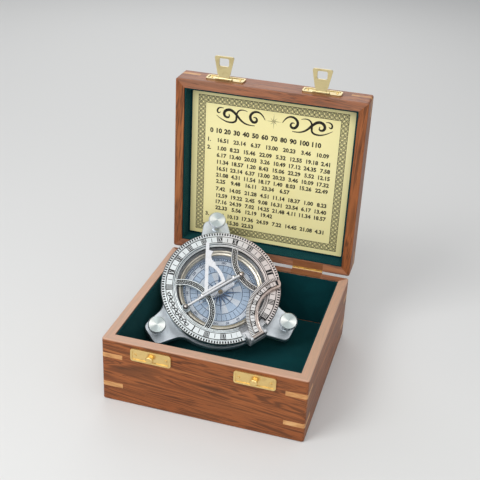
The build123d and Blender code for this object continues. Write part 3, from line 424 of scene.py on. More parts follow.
metal_parts = (
    (satin_brass, ("catch_plate_left", "catch_plate_right", "catch_plate_nails", "latch_plate_nails")),
    (pale_brass, ("hasp_left", "hasp_right", "latch_plate_left", "latch_plate_right", "hasp_pins")),
    (aged_brass, ("hinge_pins", "needle_cap", "needle_pivot")),
    (nickel, ("compass_base_plate", "levelling_screw_1", "levelling_screw_2", "levelling_screw_3")),
    (bright_steel, ("gnomon", "compass_needle")),
    (satin_steel, ("gnomon_bar",)),
    (moulding_silver, ("bar_knobs", "latitude_arc", "ring_hinge_pin", "arc_hinge_pin")),
    (dial_silver, ("hour_ring",)),
    (drum_silver, ("dial_drum", "compass_capsule")),
    (bezel_gold, ("compass_bezel",)),
)
for finish, names in metal_parts:
    coat(finish, *names)
print("metals on", sum(len(names) for _, names in metal_parts), "solids")

# %% [markdown]
# ### Browned hinge leaves
# The hinge leaves are browned like the wood round them, and only the crown of the barrel is rubbed
# bright. How near a point is to the hinge's axis and how high it stands above it, worked out from the
# piece's own coordinates, mix the two.

# %% Hinge finish
hinge_axis_y, hinge_axis_z, barrel_reach = 0.0689, 0.0487, 0.0019
browned_brass, tree, shader = start_finish("browned_brass")
split = own_place(tree)[1]
away_y = reckoned(tree, "SUBTRACT", split["Y"], hinge_axis_y)
away_z = reckoned(tree, "SUBTRACT", split["Z"], hinge_axis_z)
off_axis = add(tree, "ShaderNodeCombineXYZ", {"Y": away_y, "Z": away_z}).outputs["Vector"]
reach = add(tree, "ShaderNodeVectorMath", {0: off_axis}, operation="LENGTH").outputs["Value"]
near = between(tree, reach, 1.0, 0.0, barrel_reach, barrel_reach + 0.0004)
rubbed = reckoned(tree, "MULTIPLY", near, between(tree, away_z, start=0.0008, stop=0.0012))
brown = mixed(tree, spots(tree, (0.2, 1, 1), 500, 3, 0.3), (120, 72, 42), (152, 98, 60))
wire(tree, shader, mixed(tree, rubbed, brown, (222, 188, 120)), between(tree, rubbed, 0.5, 0.28))
tree.links.new(rubbed, shader.inputs["Metallic"])
coat(browned_brass, "hinge_base_leaf_left", "hinge_base_leaf_right", "hinge_lid_leaf_left", "hinge_lid_leaf_right",
     "base_hinge_screws", "lid_hinge_screws")
print("browned hinge leaves and screws")

# %% [markdown]
# ## The velvet
# The lining is a dark green cotton velvet. It drinks light where the pile stands up and glows a little at
# grazing angles, which is what sheen is for. A fine noise is the pile, and a slow one shows where
# fingers have brushed it. Each plain lining solid is replaced by a cloth piece of its own.

# %% Velvet finish
velvet, tree, shader = start_finish("green_velvet", Roughness=0.95, Sheen_Weight=0.35, Sheen_Roughness=0.4,
                                    Sheen_Tint=painted(84, 150, 150), Specular_IOR_Level=0.12)
pile = spots(tree, even, 2600, 2, 0.0)
green = mixed(tree, spots(tree, even, 46, 4, 1.0), (3, 50, 56), (8, 78, 82))
wire(tree, shader, mixed(tree, between(tree, pile, 0.0, 0.6), green, (3, 30, 34)))
relief(tree, shader, pile, 0.7, 0.0006)

# %% [markdown]
# ## The floor pad and the lid pad
# Both pads are card covered with velvet, pressed in between the walls. A grid is crowned slightly, pulled
# down round its border and given a skirt, so that the pad reads as a soft sheet turned over an edge.

# %% Make the two pads
edge_drop, edge_reach, pad_sink = 0.9, 1.1, 0.3


def pad(name, width, depth, thickness, board, body, replaced):
    """A covered pad with a soft edge, whose top lies at height zero of a board."""
    drawing = bmesh.new()
    bmesh.ops.create_grid(drawing, x_segments=64, y_segments=62, size=0.5,
                          matrix=Matrix.Diagonal((width, depth, 1, 1)))
    for vert in drawing.verts:
        edge = min(width / 2 - abs(vert.co.x), depth / 2 - abs(vert.co.y))
        soft = edge_drop * math.exp(-edge / edge_reach)
        wave = 0.28 * noise.noise(vert.co * 0.06) + 0.07 * noise.noise(vert.co * 0.3)
        vert.co.z = -pad_sink + wave * min(1, edge / 4) - soft
    skirt = bmesh.ops.extrude_edge_only(drawing, edges=[e for e in drawing.edges if e.is_boundary])
    for vert in skirt["geom"]:
        if isinstance(vert, bmesh.types.BMVert):
            vert.co.z = -thickness
    bmesh.ops.contextual_create(drawing, geom=[e for e in drawing.edges if e.is_boundary])
    piece = settle(drawing, name, body, board, velvet, smooth=60)
    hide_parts(replaced)


_, floor_high, (inside_width, inside_depth, floor_thickness) = measured("base_floor_lining")
floor_board = Matrix.Translation((0, 0, floor_high.z))
pad("velvet_floor", inside_width, inside_depth, floor_thickness, floor_board, "base", "base_floor_lining")
board_low, board_high, (_, board_thickness, board_height) = measured("lid_board_lining")
lid_pad_board = Matrix.Translation((0, board_low.y, (board_low.z + board_high.z) / 2)) @ upright
pad("velvet_lid_pad", inside_width, board_height, board_thickness, lid_pad_board, "lid", "lid_board_lining")

# %% [markdown]
# ## The velvet round the walls
# One strip goes round the inside of the base and one round the lid. A rectangle of edges is extruded up in
# short steps, pushed about by slow noise so that the glued cloth isn't dead flat, and given the thickness
# of the cloth. The top edge is cut by hand, so it wanders by a fraction of a millimetre.

# %% Make the two strips
def wall_strip(name, width, depth, height, board, body):
    """A strip of cloth round the inside of a frame, standing on height zero of a board."""
    drawing = bmesh.new()
    glue_gap, step, cloth = 0.12, 2.0, 0.8
    half_w, half_d = width / 2 - glue_gap, depth / 2 - glue_gap
    ring = bmesh.ops.create_circle(drawing, cap_ends=False, radius=1, segments=4)["verts"]
    for vert, (x, y) in zip(ring, ((1, 1), (-1, 1), (-1, -1), (1, -1))):
        vert.co = (x * half_w, y * half_d, 0)
    bmesh.ops.subdivide_edges(drawing, edges=drawing.edges[:], cuts=59, use_grid_fill=False)
    levels = max(3, round(height / step))
    loop = drawing.edges[:]
    for level in range(levels):
        raised = bmesh.ops.extrude_edge_only(drawing, edges=loop)
        bmesh.ops.translate(drawing, vec=(0, 0, height / levels),
                            verts=[v for v in raised["geom"] if isinstance(v, bmesh.types.BMVert)])
        loop = [e for e in raised["geom"] if isinstance(e, bmesh.types.BMEdge)]
    for vert in drawing.verts:
        inward = Vector((-vert.co.x / half_w, -vert.co.y / half_d, 0))
        inward = Vector((inward.x if abs(inward.x) > 0.999 else 0, inward.y if abs(inward.y) > 0.999 else 0, 0))
        vert.co += inward * (glue_gap + 0.10 * noise.noise(vert.co * 0.12))
        if vert.co.z > height - 0.01:
            vert.co.z += 0.35 * noise.noise(vert.co * 0.55) - 0.1
    bmesh.ops.recalc_face_normals(drawing, faces=drawing.faces)
    if (drawing.faces[0].normal.xy @ drawing.faces[0].calc_center_median().xy) > 0:
        bmesh.ops.reverse_faces(drawing, faces=drawing.faces)
    bmesh.ops.solidify(drawing, geom=drawing.faces[:], thickness=-cloth)
    piece = settle(drawing, name, body, board, velvet, smooth=50)
    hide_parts(f"{body}_wall_lining")


sleeve_low, _, (_, _, sleeve_height) = measured("base_wall_lining")
sleeve_board = Matrix.Translation((0, 0, sleeve_low.z))
wall_strip("velvet_base_walls", inside_width, inside_depth, sleeve_height, sleeve_board, "base")
lid_sleeve_low, lid_sleeve_high, (_, lid_sleeve_height, lid_sleeve_depth) = measured("lid_wall_lining")
lid_middle_z = (lid_sleeve_low.z + lid_sleeve_high.z) / 2
lid_sleeve_board = Matrix.Translation((0, lid_sleeve_high.y, lid_middle_z)) @ upright
wall_strip("velvet_lid_walls", inside_width, lid_sleeve_depth, lid_sleeve_height, lid_sleeve_board, "lid")

# %% [markdown]
# ## Frayed pile at the cut edges
# Where the velvet was cut, loose green threads stand up against the pale wood. A few hundred three-sided
# cones lean at random along each cut edge. The random numbers come from one seeded source, so the fray is
# the same each time the lesson runs. The lid's threads sit lower, so that the box can shut over them.

# %% Fray the edges
def fray(name, width, depth, level, count, board, body):
    """Loose threads along the four sides of a rectangle."""
    drawing = bmesh.new()
    for _ in range(count):
        along_side, side = chance.uniform(-1, 1), chance.choice((0, 1, 2, 3))
        x = along_side * width / 2 if side < 2 else (width / 2 - chance.uniform(0.2, 0.9)) * (1, -1)[side - 2]
        y = (depth / 2 - chance.uniform(0.2, 0.9)) * (1, -1)[side] if side < 2 else along_side * depth / 2
        tilt = (Matrix.Rotation(chance.uniform(-1.1, 1.1), 4, "X")
                @ Matrix.Rotation(chance.uniform(-1.1, 1.1), 4, "Y"))
        length = chance.uniform(0.7, 2.1)
        bmesh.ops.create_cone(drawing, cap_ends=True, segments=3, radius1=0.13, radius2=0.03, depth=length,
                              matrix=Matrix.Translation((x, y, level + chance.uniform(-0.5, 0.35))) @ tilt)
    settle(drawing, name, body, board, velvet)


lid_fray_sink = 0.9
fray("velvet_fray_base", inside_width, inside_depth, sleeve_height, 760, sleeve_board, "base")
fray("velvet_fray_lid", inside_width, lid_sleeve_depth, lid_sleeve_height - lid_fray_sink, 380,
     lid_sleeve_board, "lid")

# %% [markdown]
# ## The printed plate in the lid
# The plate is thin brass sheet under a pale gold lacquer, with a soft sheen and tiny rolling marks. The
# print is a dark olive ink, laid on as its own thin pieces, so the lines stay sharp from any distance: a
# woven border, a scroll heading and rows of plain figures.

# %% Plate and ink finishes
plate_gold, tree, shader = start_finish("plate_gold", Metallic=0.05, Coat_Weight=0.3, Coat_Roughness=0.2)
rolled = spots(tree, (1, 1, 12), 240, 3, 0.1)
tone = mixed(tree, spots(tree, even, 13, 2, 0.5), (246, 233, 160), (250, 242, 186))
tone = mixed(tree, between(tree, rolled, 0.0, 0.14), tone, (206, 190, 120))
wire(tree, shader, tone, between(tree, rolled, 0.3, 0.42))
relief(tree, shader, rolled, 0.1, 0.00004)
coat(plate_gold, "placard")
ink_gloss = {"gloss": (0.45, 0.7), "Specular_IOR_Level": 0.3}
ink = two_tone("olive_ink", (22, 20, 16), (44, 40, 30), 1300, 3, 0.0, **ink_gloss)
border_ink = two_tone("border_ink", (48, 45, 32), (74, 70, 48), 1300, 3, 0.0, **ink_gloss)

# %% [markdown]
# ## The woven border
# Pairs of slanting lines lean one way and the other in turn, like a braid, inside a frame of two thin
# rules, as in an old engraved border. Every line is one stretched cube, so the whole border stays light.

# %% Make the woven border
border_left, border_right, border_top, border_bottom, band = 4.8, 4.6, 2.2, 3.4, 5.4
print_low, print_high, print_middle = -0.02, 0.03, (-0.02 + 0.03) / 2
weave_pitch, weave_rows, strand_gap, strand, rule = 1.8, 3, 0.85, 0.44, 0.35


def woven_band(drawing, start, end, inside):
    """A band of crossing double lines from start to end, on the side that a vector points to."""
    start, end, inside = Vector(start), Vector(end), Vector(inside)
    run = (end - start).normalized()
    count = round((end - start).length / weave_pitch)
    pitch = (end - start).length / count
    rise = inside * (band / weave_rows)
    for index in range(count):
        for row in range(weave_rows):
            low = start + run * (index * pitch) + rise * row
            high = low + run * pitch + rise
            if (index + row) % 2:
                low, high = low + rise, high - rise
            for shift in (0.0, strand_gap):
                bar(drawing, low + run * shift, high + run * (shift - strand_gap), strand, print_low, print_high)


drawing = bmesh.new()
x0, x1 = -plate_width / 2 + border_left, plate_width / 2 - border_right
y0, y1 = -plate_height / 2 + border_bottom, plate_height / 2 - border_top
for start, end, inside in (((x0, y1), (x1, y1), (0, -1)), ((x0, y0), (x1, y0), (0, 1)),
                           ((x0, y0 + band), (x0, y1 - band), (1, 0)), ((x1, y0 + band), (x1, y1 - band), (-1, 0))):
    woven_band(drawing, start, end, inside)
for grow in (0.0, band):
    corners = [(x0 + grow, y0 + grow), (x1 - grow, y0 + grow), (x1 - grow, y1 - grow), (x0 + grow, y1 - grow)]
    for index in range(4):
        bar(drawing, corners[index], corners[(index + 1) % 4], rule, print_low, print_high)
settle(drawing, "plate_woven_border", "lid", plate_board, border_ink)

# %% [markdown]
# ## The heading and the rows of figures
# The heading is a plain scroll of mirrored curls round a small compass rose. Below it, the rows carry only
# numbers: a table of hours and minutes set in the built-in face. Curls are round curves turned into meshes
# and then pressed flat, which keeps their swelling strokes.

# %% Make the scroll heading
def curl(drawing, points, thickness, board):
    """A pen stroke that swells in its middle, pressed flat on a board."""
    curve = bpy.data.curves.new("curl", "CURVE")
    curve.dimensions, curve.bevel_depth, curve.bevel_resolution, curve.resolution_u = "3D", thickness, 1, 8
    spline = curve.splines.new("NURBS")
    spline.points.add(len(points) - 1)
    for index, (x, y) in enumerate(points):
        spline.points[index].co = (x, y, 0, 1)
        share = index / (len(points) - 1)
        spline.points[index].radius = 0.3 + 1.0 * math.sin(math.pi * share)
    spline.order_u = 4
    spline.use_endpoint_u = True
    add_curve(drawing, curve, board @ Matrix.Diagonal((1, 1, 0.03 / thickness, 1)))


heading_x, heading_y = 1.5, plate_height / 2 - 15.2
curls = (
    (0.8, [(6.5, 0), (9, 5.2), (15, 6.4), (19, 1), (15.5, -4), (11.5, -1.6), (13.4, 1.6), (15.5, 0.8)]),
    (0.85, [(14, -5.4), (22, -6.2), (27, 0), (33, 5.6), (38.5, 2.2), (37, -2.6), (32.8, -1.8), (34, 1)]),
    (0.6, [(20, 4.6), (25, 6.4), (29, 2.5), (27.5, -3.5), (31, -6), (38, -5.2), (43.5, -1.2)]),
    (0.55, [(38, 4.8), (41.5, 5.6), (44, 2.2), (41.8, 0), (40.4, 1.8)]),
)
drawing = bmesh.new()
for side in (-1, 1):
    mirror = Matrix.Translation((heading_x, heading_y, 0)) @ Matrix.Diagonal((side, 1, 1, 1))
    for thickness, points in curls:
        curl(drawing, points, thickness, mirror)
for point in range(8):
    reach, angle = 6.0 if point % 2 == 0 else 3.6, point * 45 + 90
    flat_shape(drawing, [(heading_x + a, heading_y + b) for a, b in
                         (polar(reach, angle), polar(1.0, angle + 22.5), (0, 0))], print_low, print_high)
settle(drawing, "plate_scroll_heading", "lid", plate_board, ink)

# %% Make the rows of figures
row_starts = (42.4, 47.9, 53.4, 58.8, 64.0, 69.2, 75.4, 81.0, 86.3, 91.4, 97.6, 103.0)
left_of_rows, right_of_rows, first_row, figure_size = 19.6, 107.0, 36.0, 4.3
short_rows, numbered_rows = {5: 78.0, 9: 66.0, 11: 52.0}, {0: "2.", 10: "3."}


def word_width(word, size):
    """About how wide a word of figures is in the built-in face."""
    return size * sum({".": 0.28, "1": 0.42}.get(letter, 0.56) for letter in word)


def printed_row(drawing, words, left, right, below_top, size=figure_size, weight=0.04):
    """One row of figures, spread so that it fills the width from edge to edge."""
    y = plate_height / 2 - below_top
    widths = [word_width(word, size) for word in words]
    gap = (right - left - sum(widths)) / max(1, len(words) - 1)
    pen = -plate_width / 2 + left
    for word, wide in zip(words, widths):
        figures(drawing, word, size, Matrix.Translation((pen + wide / 2, y, print_middle)), 0.02, weight)
        pen += wide + gap


def row_of_times(start, width, size=figure_size, least_gap=1.3):
    """Hours and minutes, as many as fit a width."""
    words, used = [], 0.0
    while True:
        step = len(words)
        word = f"{(start * 5 + step * 7) % 24 + 1}.{(start * 17 + step * 23) % 60:02d}"
        used += word_width(word, size) + least_gap
        if used > width + least_gap:
            return words
        words.append(word)


def row_number(drawing, word, below_top):
    """The number that stands before a row."""
    printed_row(drawing, [word], 12.0, 16.0, below_top, 4.2)


drawing = bmesh.new()
printed_row(drawing, [str(v) for v in range(0, 115, 10)], 14.0, 98.0, 28.6, 5.0, 0.045)
row_number(drawing, "1.", first_row)
printed_row(drawing, row_of_times(3, 105.0 - left_of_rows), left_of_rows, 105.0, first_row)
for index, below in enumerate(row_starts):
    if index in numbered_rows:
        row_number(drawing, numbered_rows[index], below)
    last = short_rows.get(index, right_of_rows)
    printed_row(drawing, row_of_times(index, last - left_of_rows), left_of_rows, last, below)
settle(drawing, "plate_figure_rows", "lid", plate_board, ink)

# %% [markdown]
# ## The hour ring
# The ring is cast, silvered and then darkened, and polished again so that only the raised parts shine.
# Light panels stand between the hour numerals, each with a mark for the half hour. Outside them a light
# band carries a row of dark stamped marks. Every circle stops where the ring is cut away for the arc.

# %% Sizes on the hour ring
ring_top, step_top = 18.5, 17.8
notch_from, notch_to = -11.0, 18.5
hour_pitch, noon, hour_places = 18.0, 94.8, 20
panel_in, panel_out, panel_half, panel_rise = 35.3, 39.7, 6.0, 0.22
mark_radius, mark_half, mark_width, marks_in_turn = 41.95, 0.95, 1.05, 136
numeral_radius, numeral_size = 37.5, 3.4
hours = "IIII V VI VII VIII IX X XI XII I II III IIII V VI VII VIII".split()
ornament_from, ornament_to, ornament_spare = 249.0, 284.0, 6
last_panel_from = 344.0


def clear_of_notch(angle, spare=0.0):
    """Whether an angle of the ring is outside the notch."""
    turned_angle = (angle + 180) % 360 - 180
    return not notch_from - spare < turned_angle < notch_to + spare


def ring_sweep(drawing, section, steps=150):
    """A section swept round the ring from one side of the notch to the other."""
    swept(drawing, section, notch_to, 360 + notch_from, steps)


half_hours = [angle for angle in (noon + (index + 0.5) * hour_pitch for index in range(hour_places))
              if clear_of_notch(angle, panel_half)
              and not ornament_from - ornament_spare < angle % 360 < ornament_to + ornament_spare]
print(len(half_hours), "panels between the hours")

# %% Dark grounds of the ring
drawing = bmesh.new()
for inner, outer, level, rise in ((34.5, 40.2, ring_top, 0.02), (33.85, 34.45, step_top, 0.03),
                                  (32.98, 33.1, step_top, 0.03), (42.95, 43.15, ring_top, 0.05)):
    ring_sweep(drawing, slab(inner, outer, level - 0.3, level + rise))
on_dial(drawing, "ring_dark_ground", patina)

# %% [markdown]
# ### Raised circles, panels and stamped marks
# Ribs are small rounded sections spun round the dial. A panel is a section spun by a few degrees. The
# stamped marks are made by the hundred, so each is only a cube.

# %% Make the raised circles
drawing = bmesh.new()
for radius, height, width, rise in ((40.35, ring_top, 0.5, 0.3), (34.75, ring_top, 0.55, 0.3),
                                    (42.8, ring_top, 0.3, 0.2), (33.45, step_top, 0.75, 0.45),
                                    (32.65, step_top, 0.6, 0.3)):
    ring_sweep(drawing, rib(radius, height - 0.05, width, rise))
on_dial(drawing, "ring_raised_circles", light_silver, 40)

# %% Make the light panels and the ornament's ground
drawing = bmesh.new()
for middle in half_hours:
    swept(drawing, sloped(panel_in, panel_out, ring_top, panel_rise), middle - panel_half, middle + panel_half, 8)
swept(drawing, sloped(panel_in, panel_out, ring_top, 0.16), ornament_from - 7, ornament_to + 10.6, 30)
swept(drawing, sloped(panel_in, panel_out, ring_top, panel_rise), last_panel_from, 360 + notch_from - 0.3, 6)
ring_sweep(drawing, slab(40.75, 42.9, ring_top - 0.2, ring_top + 0.02))
on_dial(drawing, "ring_light_panels", light_silver, 30)

# %% Make the stamped marks, the half hours and the numerals
strokes_of = {"I": (0.42, [((0, -0.5), (0, 0.5), 0.15)]),
              "V": (0.78, [((-0.28, 0.5), (0, -0.5), 0.16), ((0.28, 0.5), (0, -0.5), 0.07)]),
              "X": (0.78, [((-0.28, 0.5), (0.28, -0.5), 0.16), ((0.28, 0.5), (-0.28, -0.5), 0.07)])}


def roman(drawing, word, angle, low, high):
    """A roman numeral with thick and thin strokes, standing outward at an angle of the dial."""
    total = sum(strokes_of[letter][0] for letter in word)
    squeeze = min(1.0, numeral_size / (total * numeral_size))
    stand = (Matrix.Rotation(math.radians(angle - 90), 4, "Z") @ Matrix.Translation((0, numeral_radius, 0))
             @ Matrix.Diagonal((numeral_size * squeeze, numeral_size, 1, 1)))
    pen = -total / 2
    for letter in word:
        advance, strokes = strokes_of[letter]
        middle = pen + advance / 2
        for (xa, ya), (xb, yb), thick in strokes:
            bar(drawing, (middle + xa, ya), (middle + xb, yb), thick, low, high, stand)
        for y in (-0.5, 0.5):
            bar(drawing, (middle - advance * 0.44, y), (middle + advance * 0.44, y), 0.07, low, high, stand)
        pen += advance


drawing = bmesh.new()
for index in range(marks_in_turn):
    angle = index * 360 / marks_in_turn
    if clear_of_notch(angle, 0.5):
        spoke(drawing, mark_radius - mark_half, mark_radius + mark_half, angle, mark_width,
              ring_top - 0.1, ring_top + 0.06)
for middle in half_hours:
    spoke(drawing, panel_in + 0.5, panel_out - 0.9, middle, 0.42, ring_top, ring_top + 0.27)
on_dial(drawing, "ring_dots_and_half_hours", patina)
drawing = bmesh.new()
for index, word in enumerate(hours):
    angle = noon + (hours.index("XII") - index) * hour_pitch
    if clear_of_notch(angle, 3.5):
        roman(drawing, word, angle, ring_top, ring_top + 0.24)
on_dial(drawing, "ring_numerals", light_silver)

# %% [markdown]
# ### A running scroll
# One side of the ring has a longer light panel. It carries a plain running scroll, made of half circles
# that turn in and out, cut dark into the panel.

# %% Make the running scroll
drawing = bmesh.new()
scroll_turns = 11
for index in range(scroll_turns):
    angle = ornament_from - 2 + (ornament_to - ornament_from + 4) * index / (scroll_turns - 1)
    facing = angle if index % 2 == 0 else angle + 180
    for size, half, first, last in ((1.45, 0.34, -100, 130), (0.6, 0.24, 100, 330)):
        swept(drawing, slab(size - half, size + half, ring_top + 0.1, ring_top + 0.22), facing + first,
              facing + last, 9, polar(numeral_radius, angle))
on_dial(drawing, "ring_running_scroll", patina)

# %% [markdown]
# ### The two arches
# Each arch is a dark band with smooth rounded borders and a pebbled middle, like rope work in cast metal.
# The borders follow the arch's own circle, found from three of its points. The pebbles are small balls
# set in two rows.

# %% Make the borders, the grounds and the pebbles of the arches
def circle_through(point_a, point_b, point_c):
    """The middle and the radius of the circle through three points."""
    (ax, ay), (bx, by), (cx, cy) = point_a, point_b, point_c
    d = 2 * (ax * (by - cy) + bx * (cy - ay) + cx * (ay - by))
    ux = ((ax**2 + ay**2) * (by - cy) + (bx**2 + by**2) * (cy - ay) + (cx**2 + cy**2) * (ay - by)) / d
    uy = ((ax**2 + ay**2) * (cx - bx) + (bx**2 + by**2) * (ax - cx) + (cx**2 + cy**2) * (bx - ax)) / d
    return (ux, uy), math.hypot(ax - ux, ay - uy)


arch_end, arch_end_turn, arch_reaches = 33.0, math.radians(38), ((16.75, 1), (11.75, -1))
pebble_radius, pebble_pitch, pebble_rows = 0.52, 1.25, (-0.6, 0.6)
borders, pebbles, grounds = bmesh.new(), bmesh.new(), bmesh.new()
for reach, toward in arch_reaches:
    end = (arch_end * math.sin(arch_end_turn), toward * arch_end * math.cos(arch_end_turn))
    middle, radius = circle_through((-end[0], end[1]), (0, toward * reach), end)
    half_turn = math.degrees(math.asin(end[0] / radius))
    facing = 90 if middle[1] < toward * reach else 270
    if abs(middle[1]) < abs(end[1]) and (end[1] - middle[1]) * (toward * reach - middle[1]) < 0:
        half_turn = 180 - half_turn
    first, last = facing - half_turn, facing + half_turn
    for offset in (-1.85, 1.85):
        swept(borders, rib(radius + offset, step_top - 0.05, 0.75, 0.4), first, last, 40, middle)
    swept(grounds, slab(radius - 1.6, radius + 1.6, step_top - 0.2, step_top + 0.02), first, last, 40, middle)
    count = int(math.radians(2 * half_turn) * radius / pebble_pitch)
    for row, offset in enumerate(pebble_rows):
        for index in range(count):
            x, y = polar(radius + offset, first + 2 * half_turn * (index + 0.5 * row) / count, middle)
            bmesh.ops.create_icosphere(pebbles, subdivisions=1, radius=pebble_radius, matrix=Matrix.Translation(
                (x, y, step_top + 0.05)) @ Matrix.Diagonal((1, 1, 0.6, 1)))
on_dial(borders, "arch_borders", light_silver, 40)
on_dial(grounds, "arch_grounds", patina)
on_dial(pebbles, "arch_pebbles", light_silver, 60)

# %% [markdown]
# ## The latitude arc
# The arc folds over the ring and is set to the latitude by its degree teeth. It carries light panels like
# the ring's on a dark ground, with plain degree numbers between them, and thin rims along its length.

# %% Make the arc's marks
arc_centre, arc_top = (44.6, 28.7), 20.7
arc_first, arc_last, tooth_count = 268.0, 163.0, 48
panel_count, panel_pitch, panel_half_turn = 6, 17.6, 4.6
teeth, panels, ground, rims = bmesh.new(), bmesh.new(), bmesh.new(), bmesh.new()
for inner, outer, first, last in ((24.6, 28.4, arc_last, arc_first - 2), (28.7, 30.9, arc_last - 2, arc_first - 1)):
    swept(ground, slab(inner, outer, arc_top - 0.2, arc_top + 0.02), first, last, 50, arc_centre)
for index in range(tooth_count):
    angle = arc_first - 1.6 - index * (arc_first - arc_last - 2) / (tooth_count - 1)
    spoke(teeth, 28.8, 30.95, angle, 0.62, arc_top - 0.3, arc_top + 0.26, arc_centre)
for index in range(panel_count):
    middle = arc_first - 8.5 - index * panel_pitch
    swept(panels, sloped(24.95, 28.1, arc_top, panel_rise), middle - panel_half_turn, middle + panel_half_turn, 7,
          arc_centre)
    spoke(ground, 25.5, 27.4, middle, 0.36, arc_top, arc_top + 0.27, arc_centre)
    if index < panel_count - 1:
        place = facing_out(26.5, middle - panel_pitch / 2, arc_top + 0.12, arc_centre)
        figures(panels, str(90 - index * 15), 3.3, place, 0.1)
for radius, width, rise in ((22.75, 0.8, 0.5), (28.5, 0.3, 0.15), (24.55, 0.35, 0.25)):
    swept(rims, rib(radius, arc_top - 0.05, width, rise), arc_last - 1, arc_first, 50, arc_centre)
on_dial(teeth, "arc_degree_teeth", light_silver, body="latitude_arc")
on_dial(panels, "arc_light_panels", light_silver, 30, body="latitude_arc")
on_dial(ground, "arc_dark_ground", patina, body="latitude_arc")
on_dial(rims, "arc_rims", moulding_silver, 40, body="latitude_arc")

# %% [markdown]
# ## The compass card and its glass
# The card is printed in dark blue on a pale blue ground: a ring of degrees, a sixteen-pointed rose with
# split points, thin circles, and white fans between the points. Flat shapes a few hundredths of a
# millimetre thick are the ink. The glass is a mostly transparent film with a sharp reflection, and its
# faint blue-grey patches are a painted reflection.

# %% Card and glass finishes
dull = {"Roughness": 0.6, "Specular_IOR_Level": 0.3}
card_paper = two_tone("card_paper", (184, 208, 234), (212, 230, 246), 60, 4, 0.6, **dull)
card_ink = two_tone("card_ink", (16, 30, 56), (46, 68, 100), 400, **dull)
card_tint = two_tone("card_tint", (96, 130, 172), (120, 154, 194), 400, **dull)
card_white = two_tone("card_white", (232, 242, 250), (250, 252, 254), 300, **dull)
# The glass's faint blue-grey patches are a painted reflection.
glass_with_painted_reflection = two_tone("glass_with_painted_reflection", (118, 134, 158), (168, 182, 200), 45, 3, 1.2,
                       Alpha=0.13, Roughness=0.04, Coat_Weight=1.0, Coat_Roughness=0.02)
coat(card_paper, "compass_card")
coat(glass_with_painted_reflection, "compass_glass")

# %% Draw the card
paper, thick, fan_thick = 7.0, 0.04, 0.015
north = 60
lines, tints, fans = bmesh.new(), bmesh.new(), bmesh.new()
for radius, width in ((27.4, 0.3), (25.6, 0.28), (22.0, 0.3), (16.6, 0.3), (9.8, 0.3), (4.6, 0.25)):
    swept(lines, slab(radius - width, radius + width / 2, paper, paper + thick), 0, 360, 96)
for index in range(120):
    angle = index * 3
    spoke(lines, 25.7, 27.2, angle, 0.42 if index % 5 else 0.8, paper, paper + thick)
for angle in range(0, 360, 10):
    if angle % 20 == 0:
        figures(lines, str((360 - angle) % 360), 2.5, facing_out(23.8, angle + north, paper + thick), 0.02)
    spoke(lines, 17.2, 21.6, angle, 0.3, paper, paper + thick)
for index in range(16):
    angle, lift = index * 22.5 + north, index * 0.001
    reach, root = (16.2, 3.6) if index % 4 == 0 else ((13.2, 3.2) if index % 2 == 0 else (9.6, 4.2))
    tip, left, right = polar(reach, angle), polar(root, angle + 20), polar(root, angle - 20)
    flat_shape(lines, [(0, 0), right, tip], paper + lift, paper + thick + lift)
    flat_shape(tints, [(0, 0), tip, left], paper + lift, paper + thick + lift)
for middle in range(71, 71 + 360, 45):
    swept(fans, slab(5.2, 16.2, paper, paper + fan_thick), middle - 9, middle + 9, 6)
swept(fans, slab(22.2, 25.2, paper, paper + fan_thick), 0, 360, 72)
on_dial(fans, "card_light_fans", card_white, body="compass")
on_dial(lines, "card_printed_lines", card_ink, body="compass")
on_dial(tints, "card_rose_tints", card_tint, body="compass")

# %% [markdown]
# ## The bezel's steps and the levelling screws
# The bezel that holds the glass is turned in thin steps, bright on their edges. The heads of the screws
# are faced on a lathe, which leaves fine circles that throw a bow-tie of light. That comes from
# anisotropy along a UV map whose first axis runs round the head, and the same map paints the bow-tie
# highlight into the colour as two paler wedges. Their rims are knurled.

# %% Make the bezel's steps
drawing = bmesh.new()
for radius, level, width, rise in ((30.2, 14.55, 0.9, 0.35), (29.0, 13.75, 0.6, 0.35), (27.9, 13.0, 0.6, 0.35)):
    swept(drawing, rib(radius, level - 0.3, width, rise + 0.3), 0, 360, 120)
on_dial(drawing, "bezel_steps", bezel_gold, 40, "compass")

# %% Turned finish
turned_face, tree, shader = start_finish("turned_face", Metallic=1.0, Anisotropic=0.85)
tree.links.new(add(tree, "ShaderNodeTangent", direction_type="UV_MAP", uv_map="turning").outputs["Tangent"],
               shader.inputs["Tangent"])
lathe = spots(tree, even, 340, 4, 0.2)
turning = add(tree, "ShaderNodeUVMap", uv_map="turning").outputs["UV"]
around = add(tree, "ShaderNodeSeparateXYZ", {"Vector": turning}).outputs["X"]
# Two paler wedges round the head are the painted bow-tie highlight; the anisotropy gives the real one.
painted_highlight_wedge = between(tree, reckoned(tree, "SINE", reckoned(tree, "MULTIPLY", around, 2.0)), start=-0.2)
bow_tie_highlight = mixed(tree, painted_highlight_wedge, (190, 200, 198), (250, 252, 246))
wire(tree, shader, mixed(tree, between(tree, lathe, 0.0, 0.3), bow_tie_highlight, (170, 180, 178)),
     between(tree, lathe, 0.22, 0.36))


# %% Make the screw heads
def turning_map(piece, middle):
    """A UV map whose first axis runs round a screw."""
    layer = piece.data.uv_layers.new(name="turning")
    unplace = (dial_board @ Matrix.Scale(MM, 4)).inverted()
    for face in piece.data.polygons:
        first = None
        for corner in face.loop_indices:
            flat = unplace @ piece.data.vertices[piece.data.loops[corner].vertex_index].co
            x, y = flat.x - middle[0], flat.y - middle[1]
            angle = math.atan2(y, x)
            first = angle if first is None else first
            if angle - first > math.pi:
                angle -= 2 * math.pi
            elif angle - first < -math.pi:
                angle += 2 * math.pi
            layer.data[corner].uv = (angle, math.hypot(x, y))


